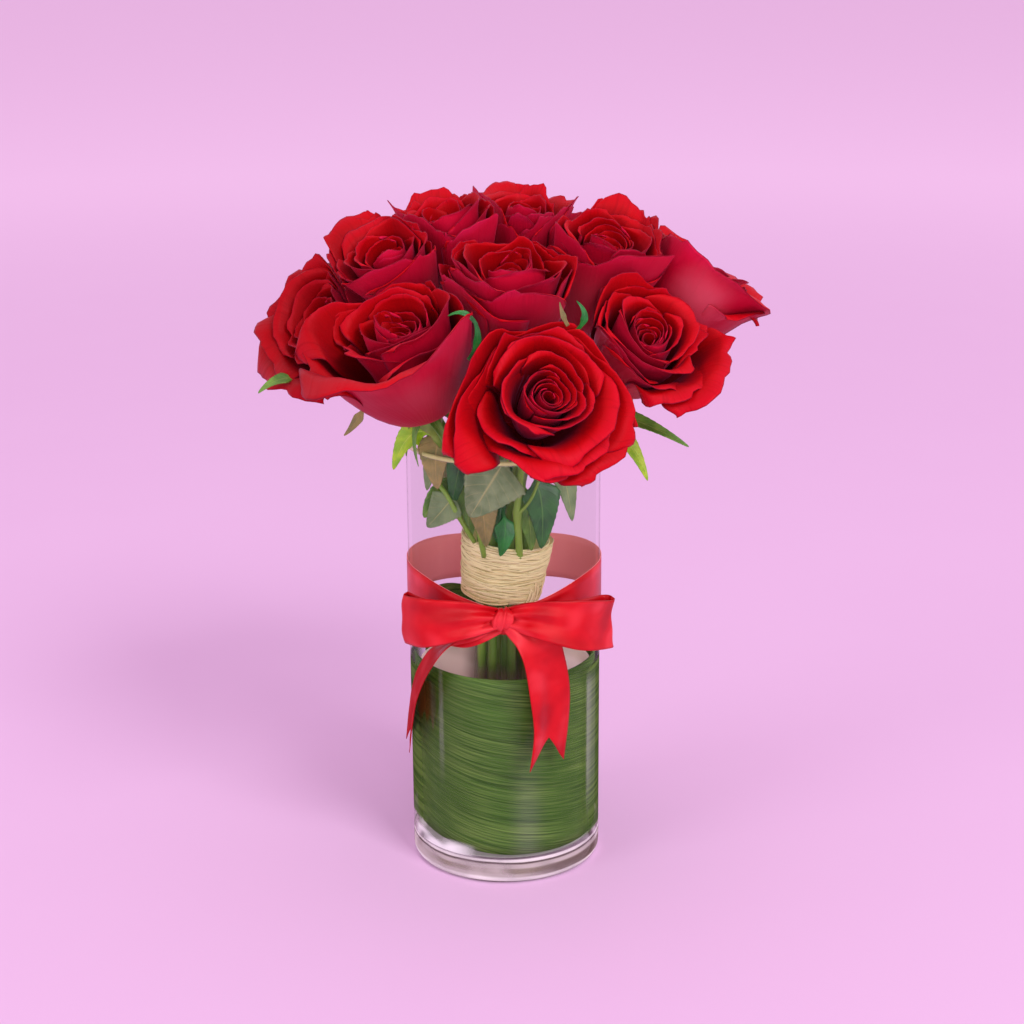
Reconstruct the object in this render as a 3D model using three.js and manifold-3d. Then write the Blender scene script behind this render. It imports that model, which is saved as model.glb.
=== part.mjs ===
// A dozen red roses, hand-tied with raffia, standing in a straight glass vase of water.
// Units are millimetres and +Z is up. The origin is the middle of the vase's underside.
import * as THREE from 'three';
import { mergeVertices } from 'three/addons/utils/BufferGeometryUtils.js';
import Module from 'manifold-3d';

const wasm = await Module();
wasm.setup();

// ---------------------------------------------------------------- driving dimensions
const GAP = 0.3; // between pieces that touch on the real thing
const MERGE = 0.1; // corners closer than this are merged where solids are joined

const VASE_RADIUS = 50;
const VASE_HEIGHT = 228.5;
const WALL = 2.2;
const FLOOR = 13.5;
const HEEL = 4;
const CORNER = 2; // inside, where the wall meets the floor
const RIM_ROUND = 0.9;
const INSIDE = VASE_RADIUS - WALL;

const LEAF_THICKNESS = 0.7;
const LINING_TURN = 372; // degrees of the wall that the lining leaf covers
const LINING_LOW = FLOOR + CORNER + 2 * GAP;
const LINING_TOP = 114;
const WATER_RADIUS = INSIDE - 2.9;
const WATER_TOP = 106;

const BINDING_LOW = 144;
const BINDING_HIGH = 175;
const BINDING_BOTTOM_RADIUS = 19.6;
const BINDING_TOP_RADIUS = 23.2;
const BINDING_WALL = 2.1;
const BINDING_TILT = 7;
const STRANDS = 6;

const RIBBON_WIDTH = 25;
const RIBBON_THICKNESS = 0.6;
const RIBBON_MIDDLE = 147.5; // height of the band's middle at the back
const RIBBON_LIFT = 5.5; // more than that at the sides
const RIBBON_RADIUS = VASE_RADIUS + GAP + RIBBON_THICKNESS / 2;
const KNOT = [-1, -55.2, 149];
const KNOT_RADII = [6.6, 4.8, 7.6];
const NOTCH_TIP = [21.4, -55.5, 83]; // inner corner of the notched tail
const NOTCH_TURN = 40; // degrees that this tail is turned from the front

const STEM_RADIUS = 2.4;
const STEM_SPREAD = 1.15; // of the distance from the middle at the tie, at the floor of the vase
const STEM_GATHER = 1.02; // the same, just above the binding
const STEM_SIDES = 5;
const HOLE_SIDES = 6;
const HIP_LENGTH = 12; // the swelling under a bloom, at size 1
const HIP_OUTLINE = [[2.4, 12], [5.3, 7.6], [5.2, 3]]; // radius, and depth below the bloom
const SEPAL_LENGTH = 29;
const BLADE = 0.6; // thickness of petals, sepals and leaves
const HEART_HEIGHT = 40; // from the foot of a bloom to the heart of its spiral, at size 1
const CELL_HEIGHT = 27; // middle of the room that a bloom has, above its foot
const CELL_RADIUS = 38;
const CELL_SHUT = 0.75; // share of that radius for a shut bloom
const CELL_OPEN = 0.3; // added to the share for a wide open one
const BLOOM_GAP = 2.4; // kept between neighbouring blooms
const CUP_SHARE = 0.74; // of a petal's length, up to its crest; the rest is the rolled rim

// The whorls of petals that stand out of a bloom's core, from the heart outwards: how far out
// from 0 to 1, how far each petal reaches round, and for each petal whether its two edges lie
// over (1) or under (-1) those of its neighbours.
const WHORLS = [
  { out: 0.66, reach: 80, edges: [[1, 1], [-1, 1], [-1, -1]] },
  { out: 1, reach: 54, edges: [[1, 1], [-1, -1], [1, 1], [-1, -1], [1, -1]] },
];

// Each rose: the heart of its bloom, the way that it faces (azimuth from the front towards +X,
// and elevation), its size, how far it is open, its turn about its own axis, and where its stem
// passes the binding (azimuth and distance from the middle).
const ROSES = [
  {
    name: 'front', heart: [21, -88, 273.5], faces: [12, 36],
    size: 1.05, open: 0.92, spin: 210, tie: [15, 12], sepals: 23,
  },
  {
    name: 'left_front', heart: [-49, -60, 300], faces: [-30, 64],
    size: 1.27, open: 0.45, spin: 200, tie: [-30, 12],
  },
  {
    name: 'centre', heart: [3, -34, 321], faces: [4, 71],
    size: 1.24, open: 0.34, spin: 75, tie: [5, 3.9], sepals: 18,
  },
  {
    name: 'right_front', heart: [73, -44, 292], faces: [30, 44],
    size: 1.05, open: 0.62, spin: 140, tie: [61, 12],
  },
  {
    name: 'left', heart: [-90, -6, 294], faces: [-46, 36],
    size: 1.02, open: 0.62, spin: 10, tie: [-105, 12], sepals: 15,
  },
  {
    name: 'upper_left', heart: [-58, -8, 326], faces: [-38, 60],
    size: 1.05, open: 0.5, spin: 320, tie: [-67, 12], sepals: 22,
  },
  {
    name: 'upper_right', heart: [53, 5, 328.5], faces: [26, 70],
    size: 1.22, open: 0.45, spin: 260, tie: [122, 3.9], sepals: 16,
  },
  {
    name: 'top_left', heart: [-29, 12, 338], faces: [-30, 72],
    size: 1.02, open: 0.45, spin: 100, tie: [-120, 3.9], sepals: 17,
  },
  {
    name: 'top', heart: [10, 31, 339], faces: [20, 78],
    size: 0.98, open: 0.38, spin: 30, tie: [180, 12],
  },
  {
    name: 'right', heart: [96, 20, 311], faces: [88, 60],
    size: 1.12, open: 0.5, spin: 215, tie: [101, 12],
  },
  {
    name: 'back_left', heart: [-58, 66, 312], faces: [-145, 52],
    size: 1.12, open: 0.75, spin: 300, tie: [-142, 12], sepals: 22,
  },
  {
    name: 'back_right', heart: [54, 76, 312], faces: [148, 50],
    size: 1.12, open: 0.75, spin: 70, tie: [142, 12], sepals: 17,
  },
];

// ---------------------------------------------------------------- finishes
const glass = new THREE.MeshStandardMaterial({ color: 0xe9efe9, roughness: 0.02, metalness: 0 });
const waterClear = new THREE.MeshStandardMaterial({ color: 0xe8ece0, roughness: 0.02, metalness: 0 });
const leafLining = new THREE.MeshStandardMaterial({ color: 0x3c6a22, roughness: 0.45, metalness: 0 });
const raffia = new THREE.MeshStandardMaterial({ color: 0xe6d29a, roughness: 0.8, metalness: 0 });
const satin = new THREE.MeshStandardMaterial({ color: 0xd3121d, roughness: 0.32, metalness: 0 });
const petal = new THREE.MeshStandardMaterial({ color: 0xb4050c, roughness: 0.55, metalness: 0 });
const green = new THREE.MeshStandardMaterial({ color: 0x4d7a2a, roughness: 0.5, metalness: 0 });

// ---------------------------------------------------------------- small tools
const { degToRad, smoothstep } = THREE.MathUtils;

function vector(list) {
  return new THREE.Vector3(...list);
}

function draw(n, k) {
  const x = Math.sin(n * 12.9898 + k * 78.233) * 43758.5453;
  return x - Math.floor(x);
}

function solid(geometry) {
  const bare = geometry.clone();
  bare.deleteAttribute('normal');
  bare.deleteAttribute('uv');
  const merged = mergeVertices(bare, 1e-4);
  const vertProperties = new Float32Array(merged.attributes.position.array);
  const triVerts = new Uint32Array(merged.index.array);
  return new wasm.Manifold(new wasm.Mesh({ numProp: 3, vertProperties, triVerts }));
}

// The largest body of a solid: hollows that a join has sealed are filled and scraps are dropped.
function oneBody(joined) {
  const bodies = joined.decompose();
  return bodies.reduce((best, body) => (body.volume() > best.volume() ? body : best));
}

function join(solids) {
  return oneBody(solids.reduce((whole, piece) => whole.add(piece))).simplify(MERGE);
}

function piece(name, shape, material) {
  let geometry = shape;
  if (!shape.isBufferGeometry) {
    const { vertProperties, triVerts } = shape.getMesh();
    geometry = new THREE.BufferGeometry();
    geometry.setAttribute('position', new THREE.BufferAttribute(new Float32Array(vertProperties), 3));
    geometry.setIndex(new THREE.BufferAttribute(new Uint32Array(triVerts), 1));
  }
  geometry.computeVertexNormals();
  const mesh = new THREE.Mesh(geometry, material);
  mesh.name = name;
  return mesh;
}

// A thin plate whose middle is surface(u, v), with u from -1 to 1 across and v from 0 to 1 along.
// Both faces are split along the same diagonals, so that a waved plate never crosses itself.
function blade(surface, across, along, thickness = BLADE) {
  const box = new THREE.BoxGeometry(2, 1, 1, across, along, 1);
  const back = box.groups[5];
  for (let i = back.start; i < back.start + back.count; i += 6) {
    const [a, b, d, , c] = [0, 1, 2, 3, 4].map((k) => box.index.getX(i + k));
    [a, b, c, a, c, d].forEach((corner, k) => box.index.setX(i + k, corner));
  }
  const place = box.attributes.position;
  const step = 0.02;
  for (let i = 0; i < place.count; i += 1) {
    const u = place.getX(i);
    const v = place.getY(i) + 0.5;
    const overU = surface(Math.min(u + step, 1), v).sub(surface(Math.max(u - step, -1), v));
    const overV = surface(u, Math.min(v + step, 1)).sub(surface(u, Math.max(v - step, 0)));
    const out = overU.cross(overV).normalize();
    const point = surface(u, v).addScaledVector(out, place.getZ(i) * thickness);
    place.setXYZ(i, point.x, point.y, point.z);
  }
  return solid(box);
}

function tube(curve, radius, sides, steps) {
  const outline = new THREE.Shape();
  for (let i = 0; i < sides; i += 1) {
    const angle = (2 * Math.PI * i) / sides;
    outline[i ? 'lineTo' : 'moveTo'](radius * Math.cos(angle), radius * Math.sin(angle));
  }
  return new THREE.ExtrudeGeometry(outline, { steps, extrudePath: curve });
}

function lathe(profile, sides) {
  const points = profile.map(([r, z]) => new THREE.Vector2(r, z));
  return new THREE.LatheGeometry(points, sides).rotateX(Math.PI / 2);
}

// ---------------------------------------------------------------- vase, water and lining leaf
function vase() {
  const profile = [
    [0, 0],
    [VASE_RADIUS - HEEL, 0],
    [VASE_RADIUS - HEEL * 0.3, HEEL * 0.3],
    [VASE_RADIUS, HEEL],
    [VASE_RADIUS, VASE_HEIGHT - RIM_ROUND],
    [VASE_RADIUS - RIM_ROUND, VASE_HEIGHT],
    [INSIDE + RIM_ROUND / 2, VASE_HEIGHT],
    [INSIDE, VASE_HEIGHT - RIM_ROUND],
    [INSIDE, FLOOR + CORNER],
    [INSIDE - CORNER, FLOOR],
    [0, FLOOR],
  ];
  return piece('vase', lathe(profile, 32), glass);
}

function linePoint(angle, radius, height) {
  return new THREE.Vector3(radius * Math.sin(angle), -radius * Math.cos(angle), height);
}

// The lining leaf runs round the inside of the wall, from its tip at the left, past the front
// and right side to its broad end at the back. Its end runs inside its tip.
function liningLeaf() {
  const start = degToRad(-126);
  const outside = INSIDE - GAP - LEAF_THICKNESS / 2;
  const surface = (u, v) => {
    const angle = start + v * degToRad(LINING_TURN);
    const inward = 1.25 * smoothstep(v, 0.5, 1);
    const tip = 1 - smoothstep(v, 0, 0.16);
    const low = LINING_LOW + 8.5 * (1 - smoothstep(v, 0.23, 0.29)) + 22 * tip ** 2;
    const high = LINING_TOP - 22 * tip ** 2 + 24 * smoothstep(v, 0.72, 0.95);
    return linePoint(angle, outside - inward, low + ((high - low) * (u + 1)) / 2);
  };
  return piece('lining_leaf', blade(surface, 1, 32, LEAF_THICKNESS), leafLining);
}

function water(holes) {
  const low = FLOOR + GAP;
  const profile = [
    [0, low],
    [WATER_RADIUS - HEEL + 1, low],
    [WATER_RADIUS, low + HEEL],
    [WATER_RADIUS, WATER_TOP],
    [0, WATER_TOP],
  ];
  const whole = solid(lathe(profile, 24));
  return piece('water', oneBody(holes.reduce((rest, hole) => rest.subtract(hole), whole)), waterClear);
}

// ---------------------------------------------------------------- raffia binding
function binding() {
  const profile = [];
  const height = BINDING_HIGH - BINDING_LOW;
  for (let i = 0; i <= 2 * STRANDS; i += 1) {
    const share = i / (2 * STRANDS);
    const swell = i % 2 ? 0 : -0.7;
    const radius = BINDING_BOTTOM_RADIUS + (BINDING_TOP_RADIUS - BINDING_BOTTOM_RADIUS) * share;
    profile.push([radius + swell, height * (share - 0.5)]);
  }
  profile.push([BINDING_TOP_RADIUS - BINDING_WALL, height / 2]);
  profile.push([BINDING_BOTTOM_RADIUS - BINDING_WALL, -height / 2]);
  profile.push(profile[0]);
  const geometry = lathe(profile, 12);
  geometry.rotateY(degToRad(BINDING_TILT));
  geometry.translate(0, 0, (BINDING_LOW + BINDING_HIGH) / 2);
  return piece('raffia_binding', geometry, raffia);
}

// ---------------------------------------------------------------- satin ribbon
// A strip along a list of stations. Each has its middle, and the unit vector across the strip.
function strip(stations, along, width = RIBBON_WIDTH) {
  const middle = new THREE.CatmullRomCurve3(stations.map((s) => vector(s.at)));
  const cross = new THREE.CatmullRomCurve3(stations.map((s) => vector(s.across)));
  const surface = (u, v) => {
    const half = (width / 2) * u;
    return middle.getPoint(v).addScaledVector(cross.getPoint(v), half);
  };
  return blade(surface, 1, along, RIBBON_THICKNESS);
}

function ribbonBand() {
  const points = [
    [RIBBON_RADIUS - RIBBON_THICKNESS / 2, -RIBBON_WIDTH / 2],
    [RIBBON_RADIUS + RIBBON_THICKNESS / 2, -RIBBON_WIDTH / 2],
    [RIBBON_RADIUS + RIBBON_THICKNESS / 2, RIBBON_WIDTH / 2],
    [RIBBON_RADIUS - RIBBON_THICKNESS / 2, RIBBON_WIDTH / 2],
    [RIBBON_RADIUS - RIBBON_THICKNESS / 2, -RIBBON_WIDTH / 2],
  ];
  const band = lathe(points, 32);
  const place = band.attributes.position;
  for (let i = 0; i < place.count; i += 1) {
    const angle = Math.atan2(place.getX(i), -place.getY(i));
    const front = 1 - smoothstep(Math.abs(angle), 0, 1.1);
    const pinch = 1 - 0.45 * front;
    const middle = RIBBON_MIDDLE + RIBBON_LIFT * Math.abs(Math.sin(angle)) - 1.5 * front;
    place.setZ(i, middle + place.getZ(i) * pinch);
  }
  return solid(band);
}

// A loop of the bow: out in front to its tip, round it, and back to the knot behind.
function ribbonLoop(side, tip, lift) {
  const [x, y, z] = KNOT;
  const up = [0, 0.25, 0.97];
  const pinched = [0, 0.1, 0.35];
  const stations = [
    { at: [x, y + 0.6, z], across: pinched },
    { at: [x + side * 16, y - 4.5, z + 1], across: [side * 0.05, 0.1, 0.72] },
    { at: [x + side * 38, y - 3, z + lift], across: up },
    { at: [tip[0], tip[1], tip[2]], across: up },
    { at: [tip[0] + side * 1.6, tip[1] + 6, tip[2] + 0.3], across: up },
    { at: [tip[0] - side * 3, tip[1] + 9, tip[2] + 0.2], across: up },
    { at: [x + side * 36, y + 2.6, z + lift], across: [0, 0.1, 0.85] },
    { at: [x + side * 14, y + 1.6, z], across: [0, 0, 0.6] },
    { at: [x, y + 1.2, z], across: pinched },
  ];
  return strip(stations, 11);
}

function ribbon() {
  const [x, y, z] = KNOT;
  const knot = new THREE.SphereGeometry(1, 8, 6);
  knot.scale(...KNOT_RADII).rotateY(0.25).translate(x, y, z);
  const right = strip([
    { at: [x + 2, y + 1, z - 1], across: [0.35, 0.1, 0.15] },
    { at: [9, -57, 144.5], across: [0.55, 0.1, 0.35] },
    { at: [16, -57.5, 138], across: [0.8, 0.25, 0.2] },
    { at: [19.5, -57, 127], across: [0.8, 0.45, 0.05] },
    { at: [22, -56, 110], across: [0.8, 0.5, 0] },
    { at: [22.6, -55.5, 91], across: [0.72, 0.6, 0] },
    { at: [20.2, -55.5, 70], across: [0.72, 0.6, 0] },
  ], 8);
  const left = strip([
    { at: [x - 1, y + 1, z - 2], across: [-0.1, -0.1, 0.45] },
    { at: [-15, -56, 139], across: [0.3, -0.3, 0.5] },
    { at: [-31, -46.5, 131], across: [0.5, -0.7, 0.25] },
    { at: [-39.5, -39.5, 117], across: [0.4, -0.82, 0.2] },
    { at: [-45, -31.5, 101], across: [0.28, -0.9, 0.1] },
    { at: [-47.8, -24, 85], across: [0.18, -0.93, 0.1] },
    { at: [-50.3, -18, 65], across: [0.09, -0.95, 0.1] },
  ], 8);
  const notch = new THREE.Shape([[0, 0], [11, -15], [-11, -15]].map((p) => new THREE.Vector2(...p)));
  const cut = new THREE.ExtrudeGeometry(notch, { depth: 24, bevelEnabled: false });
  cut.translate(0, 0, -12).rotateX(Math.PI / 2).rotateZ(degToRad(NOTCH_TURN)).translate(...NOTCH_TIP);
  const parts = [
    ribbonBand(),
    ribbonLoop(-1, [-50.5, -47, 146], -1),
    ribbonLoop(1, [52.5, -43, 141.5], -2.5),
    left,
    right.subtract(solid(cut)),
    solid(knot),
  ];
  return piece('ribbon', join(parts), satin);
}

// ---------------------------------------------------------------- roses
function layOut() {
  const roses = ROSES.map((data, index) => {
    const [azimuth, elevation] = data.faces.map(degToRad);
    const flat = Math.cos(elevation);
    const axis = vector([Math.sin(azimuth) * flat, -Math.cos(azimuth) * flat, Math.sin(elevation)]);
    const foot = vector(data.heart).addScaledVector(axis, -HEART_HEIGHT * data.size);
    const turn = new THREE.Quaternion().setFromUnitVectors(new THREE.Vector3(0, 0, 1), axis);
    const spin = new THREE.Matrix4().makeRotationZ(degToRad(data.spin));
    const frame = new THREE.Matrix4().compose(foot, turn, vector([1, 1, 1])).multiply(spin);
    const middle = foot.clone().addScaledVector(axis, CELL_HEIGHT * data.size);
    const reach = CELL_RADIUS * data.size * (CELL_SHUT + CELL_OPEN * data.open);
    return { ...data, index, axis, foot, frame, middle, reach };
  });
  roses.forEach((rose) => {
    rose.walls = roses.filter((other) => other !== rose).map((other) => {
      const toOther = other.middle.clone().sub(rose.middle);
      const distance = toOther.length();
      const room = (distance * rose.reach) / (rose.reach + other.reach) - BLOOM_GAP / 2;
      return { normal: toOther.divideScalar(distance), room };
    });
  });
  return roses;
}

// Blooms in a bunch press on one another: what reaches past a bloom's share of the room between
// it and a neighbour is eased back, more the further it reaches, so that it never crosses over.
function crowd(point, rose, inset) {
  for (let round = 0; round < 3; round += 1) {
    rose.walls.forEach(({ normal, room }) => {
      const reach = point.clone().sub(rose.middle).dot(normal);
      const free = 0.5 * room;
      if (reach > free) {
        const soft = room - inset - free;
        point.addScaledVector(normal, free + soft * Math.tanh((reach - free) / soft) - reach);
      }
    });
  }
  return point;
}

function bezier(points, t) {
  const s = 1 - t;
  const weights = [s * s * s, 3 * s * s * t, 3 * s * t * t, t * t * t];
  return [0, 1].map((k) => weights.reduce((sum, weight, i) => sum + weight * points[i][k], 0));
}

// The measures of petal k in a whorl.
function petalData(rose, whorl, k) {
  const t = whorl.out;
  const { size, open } = rose;
  const seed = rose.index * 1.7 + 10 * t;
  const [a, b, c, d] = [0, 3, 5, 8].map((n) => draw(k + 1, seed + n) - 0.5);
  const opening = smoothstep(t, 0.12, 1) ** 1.15 * (0.3 + 0.7 * open);
  const cup = 2 + 19.5 * t ** 0.9 * (0.92 + 0.1 * open);
  const over = (whorl.edges[k][0] + whorl.edges[k][1]) / 2;
  const tall = 35 + 10.5 * smoothstep(t, 0, 0.55) - 4 * t - 9.5 * opening ** 2;
  const roll = 10.5 * smoothstep(t, 0.2, 0.9) * (0.5 + 0.5 * open);
  return {
    turn: degToRad((360 * k) / whorl.edges.length + 200 * t + 10 * c),
    edges: whorl.edges[k],
    over,
    cup: (cup + 0.9 * over) * size,
    lip: (cup + 0.6 + 15.5 * opening ** 1.5 + 2.2 * over + (0.8 + 2 * t) * b) * size,
    height: (tall + 5.5 * a * (0.3 + t)) * size,
    shoulder: (1 + 5 * t) * size,
    root: (1.2 + 3.6 * t + 0.7 * over) * size,
    sink: (0.6 * t + 0.7 * over) * size,
    span: degToRad(whorl.reach + 6 * d),
    rim: (0.8 + roll * (0.7 + 0.6 * draw(k, seed))) * size,
    curl: (1.6 + 3.4 * t + 3.5 * open * t * t) * size,
    tip: (0.4 + 2.6 * t * t * draw(k, seed + 9)) * size,
    wave: (0.2 + 1.4 * t * t) * size,
    phase: 2 * Math.PI * draw(k, seed + 6),
    overlap: (1 + 1.2 * t) * size,
    lean: 0.03 * over + 0.015 * d,
    inset: (9 * (1 - t) + 0.9 * (1 - over)) * size,
  };
}

// The middle surface of a petal about the bloom's own axis: a cup, then a rim that rolls outwards.
function petalPoint(u, v, q) {
  const side = Math.abs(u);
  const edge = q.edges[u < 0 ? 0 : 1];
  const height = q.height - q.shoulder * side ** 2.4;
  const profile = [
    [q.root, -q.sink],
    [q.cup * 0.98, height * 0.02 - q.sink],
    [q.cup * 1.1, height * 0.8],
    [q.lip, height],
  ];
  let [r, z] = bezier(profile, Math.min(v / CUP_SHARE, 1));
  if (v > CUP_SHARE) {
    const start = Math.atan2(profile[3][1] - profile[2][1], profile[3][0] - profile[2][0]);
    const share = (v - CUP_SHARE) / (1 - CUP_SHARE);
    const corner = edge > 0 ? 0.55 * side ** 1.6 : -0.35 * side;
    const rim = q.rim * (0.6 + corner) * (1 - 0.35 * side ** 6) + q.tip * Math.exp(-((u / 0.13) ** 2));
    const bend = 1 / (q.curl * (1.25 - 0.55 * side ** 1.5 + 0.8 * Math.exp(-((u / 0.16) ** 2))));
    const end = start - bend * rim * share;
    r += (Math.sin(start) - Math.sin(end)) / bend;
    z += (Math.cos(end) - Math.cos(start)) / bend;
  }
  const wavy = q.wave * smoothstep(v, 0.45, 1);
  r += 0.25 * wavy * Math.sin(3.1 * u + q.phase);
  z += 1.2 * wavy * Math.sin(4.3 * u + 2.3 * q.phase);
  r += q.overlap * edge * side * smoothstep(v, 0.05, 0.5) + q.lean * Math.max(z, 0);
  r = Math.max(r, 0.15);
  const fan = 0.34 + 0.66 * smoothstep(v, 0, 0.62);
  const angle = q.turn + q.span * fan * (1 - 0.2 * smoothstep(v, 0.72, 1) * side ** 2) * u;
  return new THREE.Vector3(r * Math.cos(angle), r * Math.sin(angle), z);
}

// The innermost petals are rolled round one another: in the source they are one scroll.
function heart(rose) {
  const { size } = rose;
  const surface = (u, v) => {
    const angle = 1.25 * Math.PI * u;
    const radius = 5 + 2.2 * u - 1.2 * v;
    const height = 6 + (28 - 2.5 * Math.abs(u)) * v;
    const point = new THREE.Vector3(radius * Math.cos(angle), radius * Math.sin(angle), height);
    return point.multiplyScalar(size).applyMatrix4(rose.frame);
  };
  return blade(surface, 5, 1);
}

function bloom(rose) {
  const { size } = rose;
  const outline = [[0, -2.4], [6.8, -2.4], [9.4, 7], [0, 8]];
  const core = lathe(outline.map(([r, z]) => [r * size, z * size]), 5);
  core.applyMatrix4(rose.frame);
  const petals = WHORLS.flatMap((whorl) => whorl.edges.map((_, k) => {
    const q = petalData(rose, whorl, k);
    const surface = (u, v) => crowd(petalPoint(u, v ** 0.8, q).applyMatrix4(rose.frame), rose, q.inset);
    return blade(surface, 3, q.over > 0 && whorl.out === 1 ? 3 : 2);
  }));
  return piece(`bloom_${rose.name}`, join([solid(core), heart(rose), ...petals]), petal);
}

// A stem stands straight from the vase's floor to the top of the binding, then bends out and
// turns into the bloom's axis.
function stemCurves(rose) {
  const [azimuth, distance] = rose.tie;
  const low = linePoint(degToRad(azimuth), distance * STEM_SPREAD, FLOOR + 2 * GAP);
  const high = linePoint(degToRad(azimuth), distance * STEM_GATHER, BINDING_HIGH + 4);
  const neck = rose.foot.clone().addScaledVector(rose.axis, -HIP_LENGTH * rose.size);
  const span = high.distanceTo(neck);
  const upward = high.clone().sub(low).normalize();
  const leave = high.clone().addScaledVector(upward, span * 0.37);
  const arrive = neck.clone().addScaledVector(rose.axis, -span * 0.13);
  return [new THREE.LineCurve3(low, high), new THREE.CubicBezierCurve3(high, leave, arrive, neck)];
}

// A round stalk along stations, each with its place, the way it runs, and its radius.
function stalk(stations, sides) {
  const rows = stations.length - 1;
  const cylinder = new THREE.CylinderGeometry(1, 1, 1, sides, rows).rotateX(Math.PI / 2);
  const place = cylinder.attributes.position;
  for (let i = 0; i < place.count; i += 1) {
    const station = stations[Math.round((place.getZ(i) + 0.5) * rows)];
    const across = new THREE.Vector3(1, 0, 0).cross(station.along).normalize();
    const other = station.along.clone().cross(across);
    const point = station.at.clone().addScaledVector(across, station.radius * place.getX(i));
    point.addScaledVector(other, station.radius * place.getY(i));
    place.setXYZ(i, point.x, point.y, point.z);
  }
  return solid(cylinder);
}

function sepal(rose, k) {
  const turn = degToRad(72 * k + 20);
  const droop = 0.75 + 0.5 * draw(rose.index, k + 2);
  const length = (0.85 + 0.3 * draw(rose.index, k)) * (rose.sepals ?? SEPAL_LENGTH);
  const surface = (u, v) => {
    const width = 2.7 * (1 - v) ** 0.7 + 0.45;
    const out = 3.2 + length * (0.66 * v - 0.22 * v * v);
    const down = -4.6 - length * droop * (0.2 * v + 0.5 * v ** 2);
    const sway = 2.4 * Math.sin(3 * v + k);
    const flat = new THREE.Vector3(out, width * u + sway * v, down + 0.5 * u * u);
    flat.applyAxisAngle(new THREE.Vector3(0, 0, 1), turn);
    return flat.applyMatrix4(rose.frame);
  };
  return blade(surface, 1, 2);
}

// The straight part, the bend, and the hip that swells under the bloom.
function shaft(rose) {
  const [straight, bend] = stemCurves(rose);
  const on = (curve, t) => ({ at: curve.getPoint(t), along: curve.getTangent(t), radius: STEM_RADIUS });
  const swell = HIP_OUTLINE.map(([radius, below]) => ({
    at: rose.foot.clone().addScaledVector(rose.axis, -below * rose.size),
    along: rose.axis,
    radius: radius * rose.size,
  }));
  return stalk([on(straight, 0), ...[0, 0.33, 0.67].map((t) => on(bend, t)), ...swell], STEM_SIDES);
}

// ---------------------------------------------------------------- leaves
// Each leaf: the rose whose stem it grows on and how far up the stem's bend, a middle point that
// bows it, its tip, its width, and the direction that its upper side faces.
const LEAVES = [
  {
    rose: 'left_front', share: 0.47, bow: [-12, -38, 240],
    tip: [-8, -36, 200], wide: 28, up: [0, -1, 0.3],
  },
  {
    rose: 'left_front', share: 0.12, bow: [-6, -25, 212],
    tip: [-4, -24, 181], wide: 12, up: [0, -1, 0.1],
  },
  {
    rose: 'left_front', share: 0.8, bow: [-46, -30, 250],
    tip: [-55, -31, 220], wide: 15, up: [-0.5, -1, 0.4],
  },
  {
    rose: 'upper_left', share: 0.4, bow: [-33, -12, 240],
    tip: [-39, -17, 205], wide: 19, up: [-0.6, -1, 0.2],
  },
  {
    rose: 'upper_left', share: 0.04, bow: [-27, -9, 213],
    tip: [-41, -12, 189], wide: 23, up: [-0.3, -1, 0.2],
  },
  { rose: 'front', share: 0.1, bow: [15, -20, 210], tip: [22, -21, 184], wide: 15, up: [0.2, -1, 0.1] },
  {
    rose: 'right_front', share: 0.35, bow: [30, -14, 228],
    tip: [35, -17, 188], wide: 18, up: [0.3, -1, 0.2],
  },
  {
    rose: 'right_front', share: 0.75, bow: [66, -20, 245],
    tip: [93, -25, 229], wide: 9, up: [0.2, -0.8, 1],
  },
  {
    rose: 'right_front', share: 0.62, bow: [60, -15, 246],
    tip: [73, -20, 210], wide: 12, up: [0.3, -1, 0.3],
  },
  {
    rose: 'back_left', share: 0.3, bow: [-24, 30, 234],
    tip: [-32, 27, 196], wide: 24, up: [-0.5, 1, 0.2],
  },
  { rose: 'back_right', share: 0.3, bow: [28, 33, 230], tip: [36, 22, 200], wide: 24, up: [0.5, 1, 0.2] },
  { rose: 'top', share: 0.12, bow: [2, 30, 222], tip: [4, 34, 188], wide: 22, up: [0, 1, 0.2] },
];

function leaf(data, from) {
  const line = new THREE.QuadraticBezierCurve3(from, vector(data.bow), vector(data.tip));
  const upward = vector(data.up).normalize();
  const surface = (u, v) => {
    const across = line.getTangent(v).cross(upward).normalize();
    const open = smoothstep(v, 0.2, 0.45) * (1 - v) ** 0.65 * 1.25;
    const tooth = 1 - 0.12 * Math.cos(6 * Math.PI * v);
    const half = (data.wide / 2) * open * tooth + 0.8;
    return line.getPoint(v).addScaledVector(across, half * u);
  };
  return blade(surface, 1, 6);
}

function stem(rose) {
  const sepals = [0, 1, 2, 3, 4].map((k) => sepal(rose, k));
  const bend = stemCurves(rose)[1];
  const own = LEAVES.filter((data) => data.rose === rose.name);
  const leaves = own.map((data) => leaf(data, bend.getPoint(data.share)));
  return piece(`stem_${rose.name}`, join([shaft(rose), ...sepals, ...leaves]), green);
}

// ---------------------------------------------------------------- the whole
const bouquet = new THREE.Group();
const roses = layOut();
const holes = roses.map((rose) => solid(tube(stemCurves(rose)[0], STEM_RADIUS + 2.5 * GAP, HOLE_SIDES, 1)));
bouquet.add(vase());
bouquet.add(water(holes));
bouquet.add(liningLeaf());
bouquet.add(binding());
bouquet.add(ribbon());
roses.forEach((rose) => {
  bouquet.add(bloom(rose));
  bouquet.add(stem(rose));
});

export default bouquet;
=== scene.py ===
# %% [markdown]
# # A dozen red roses in a straight glass vase
#
# The bunch is hand-tied: twelve stems are gathered in the hand, wound with raffia and stood in
# water. A long leaf lines the glass, and a satin bow is tied round it. A solid model already
# holds every piece at its real size and place. Here each piece gets the surface that the eye
# sees: thin petals with rolled rims, veined leaves, single raffia strands, folded satin, glass.

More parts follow.
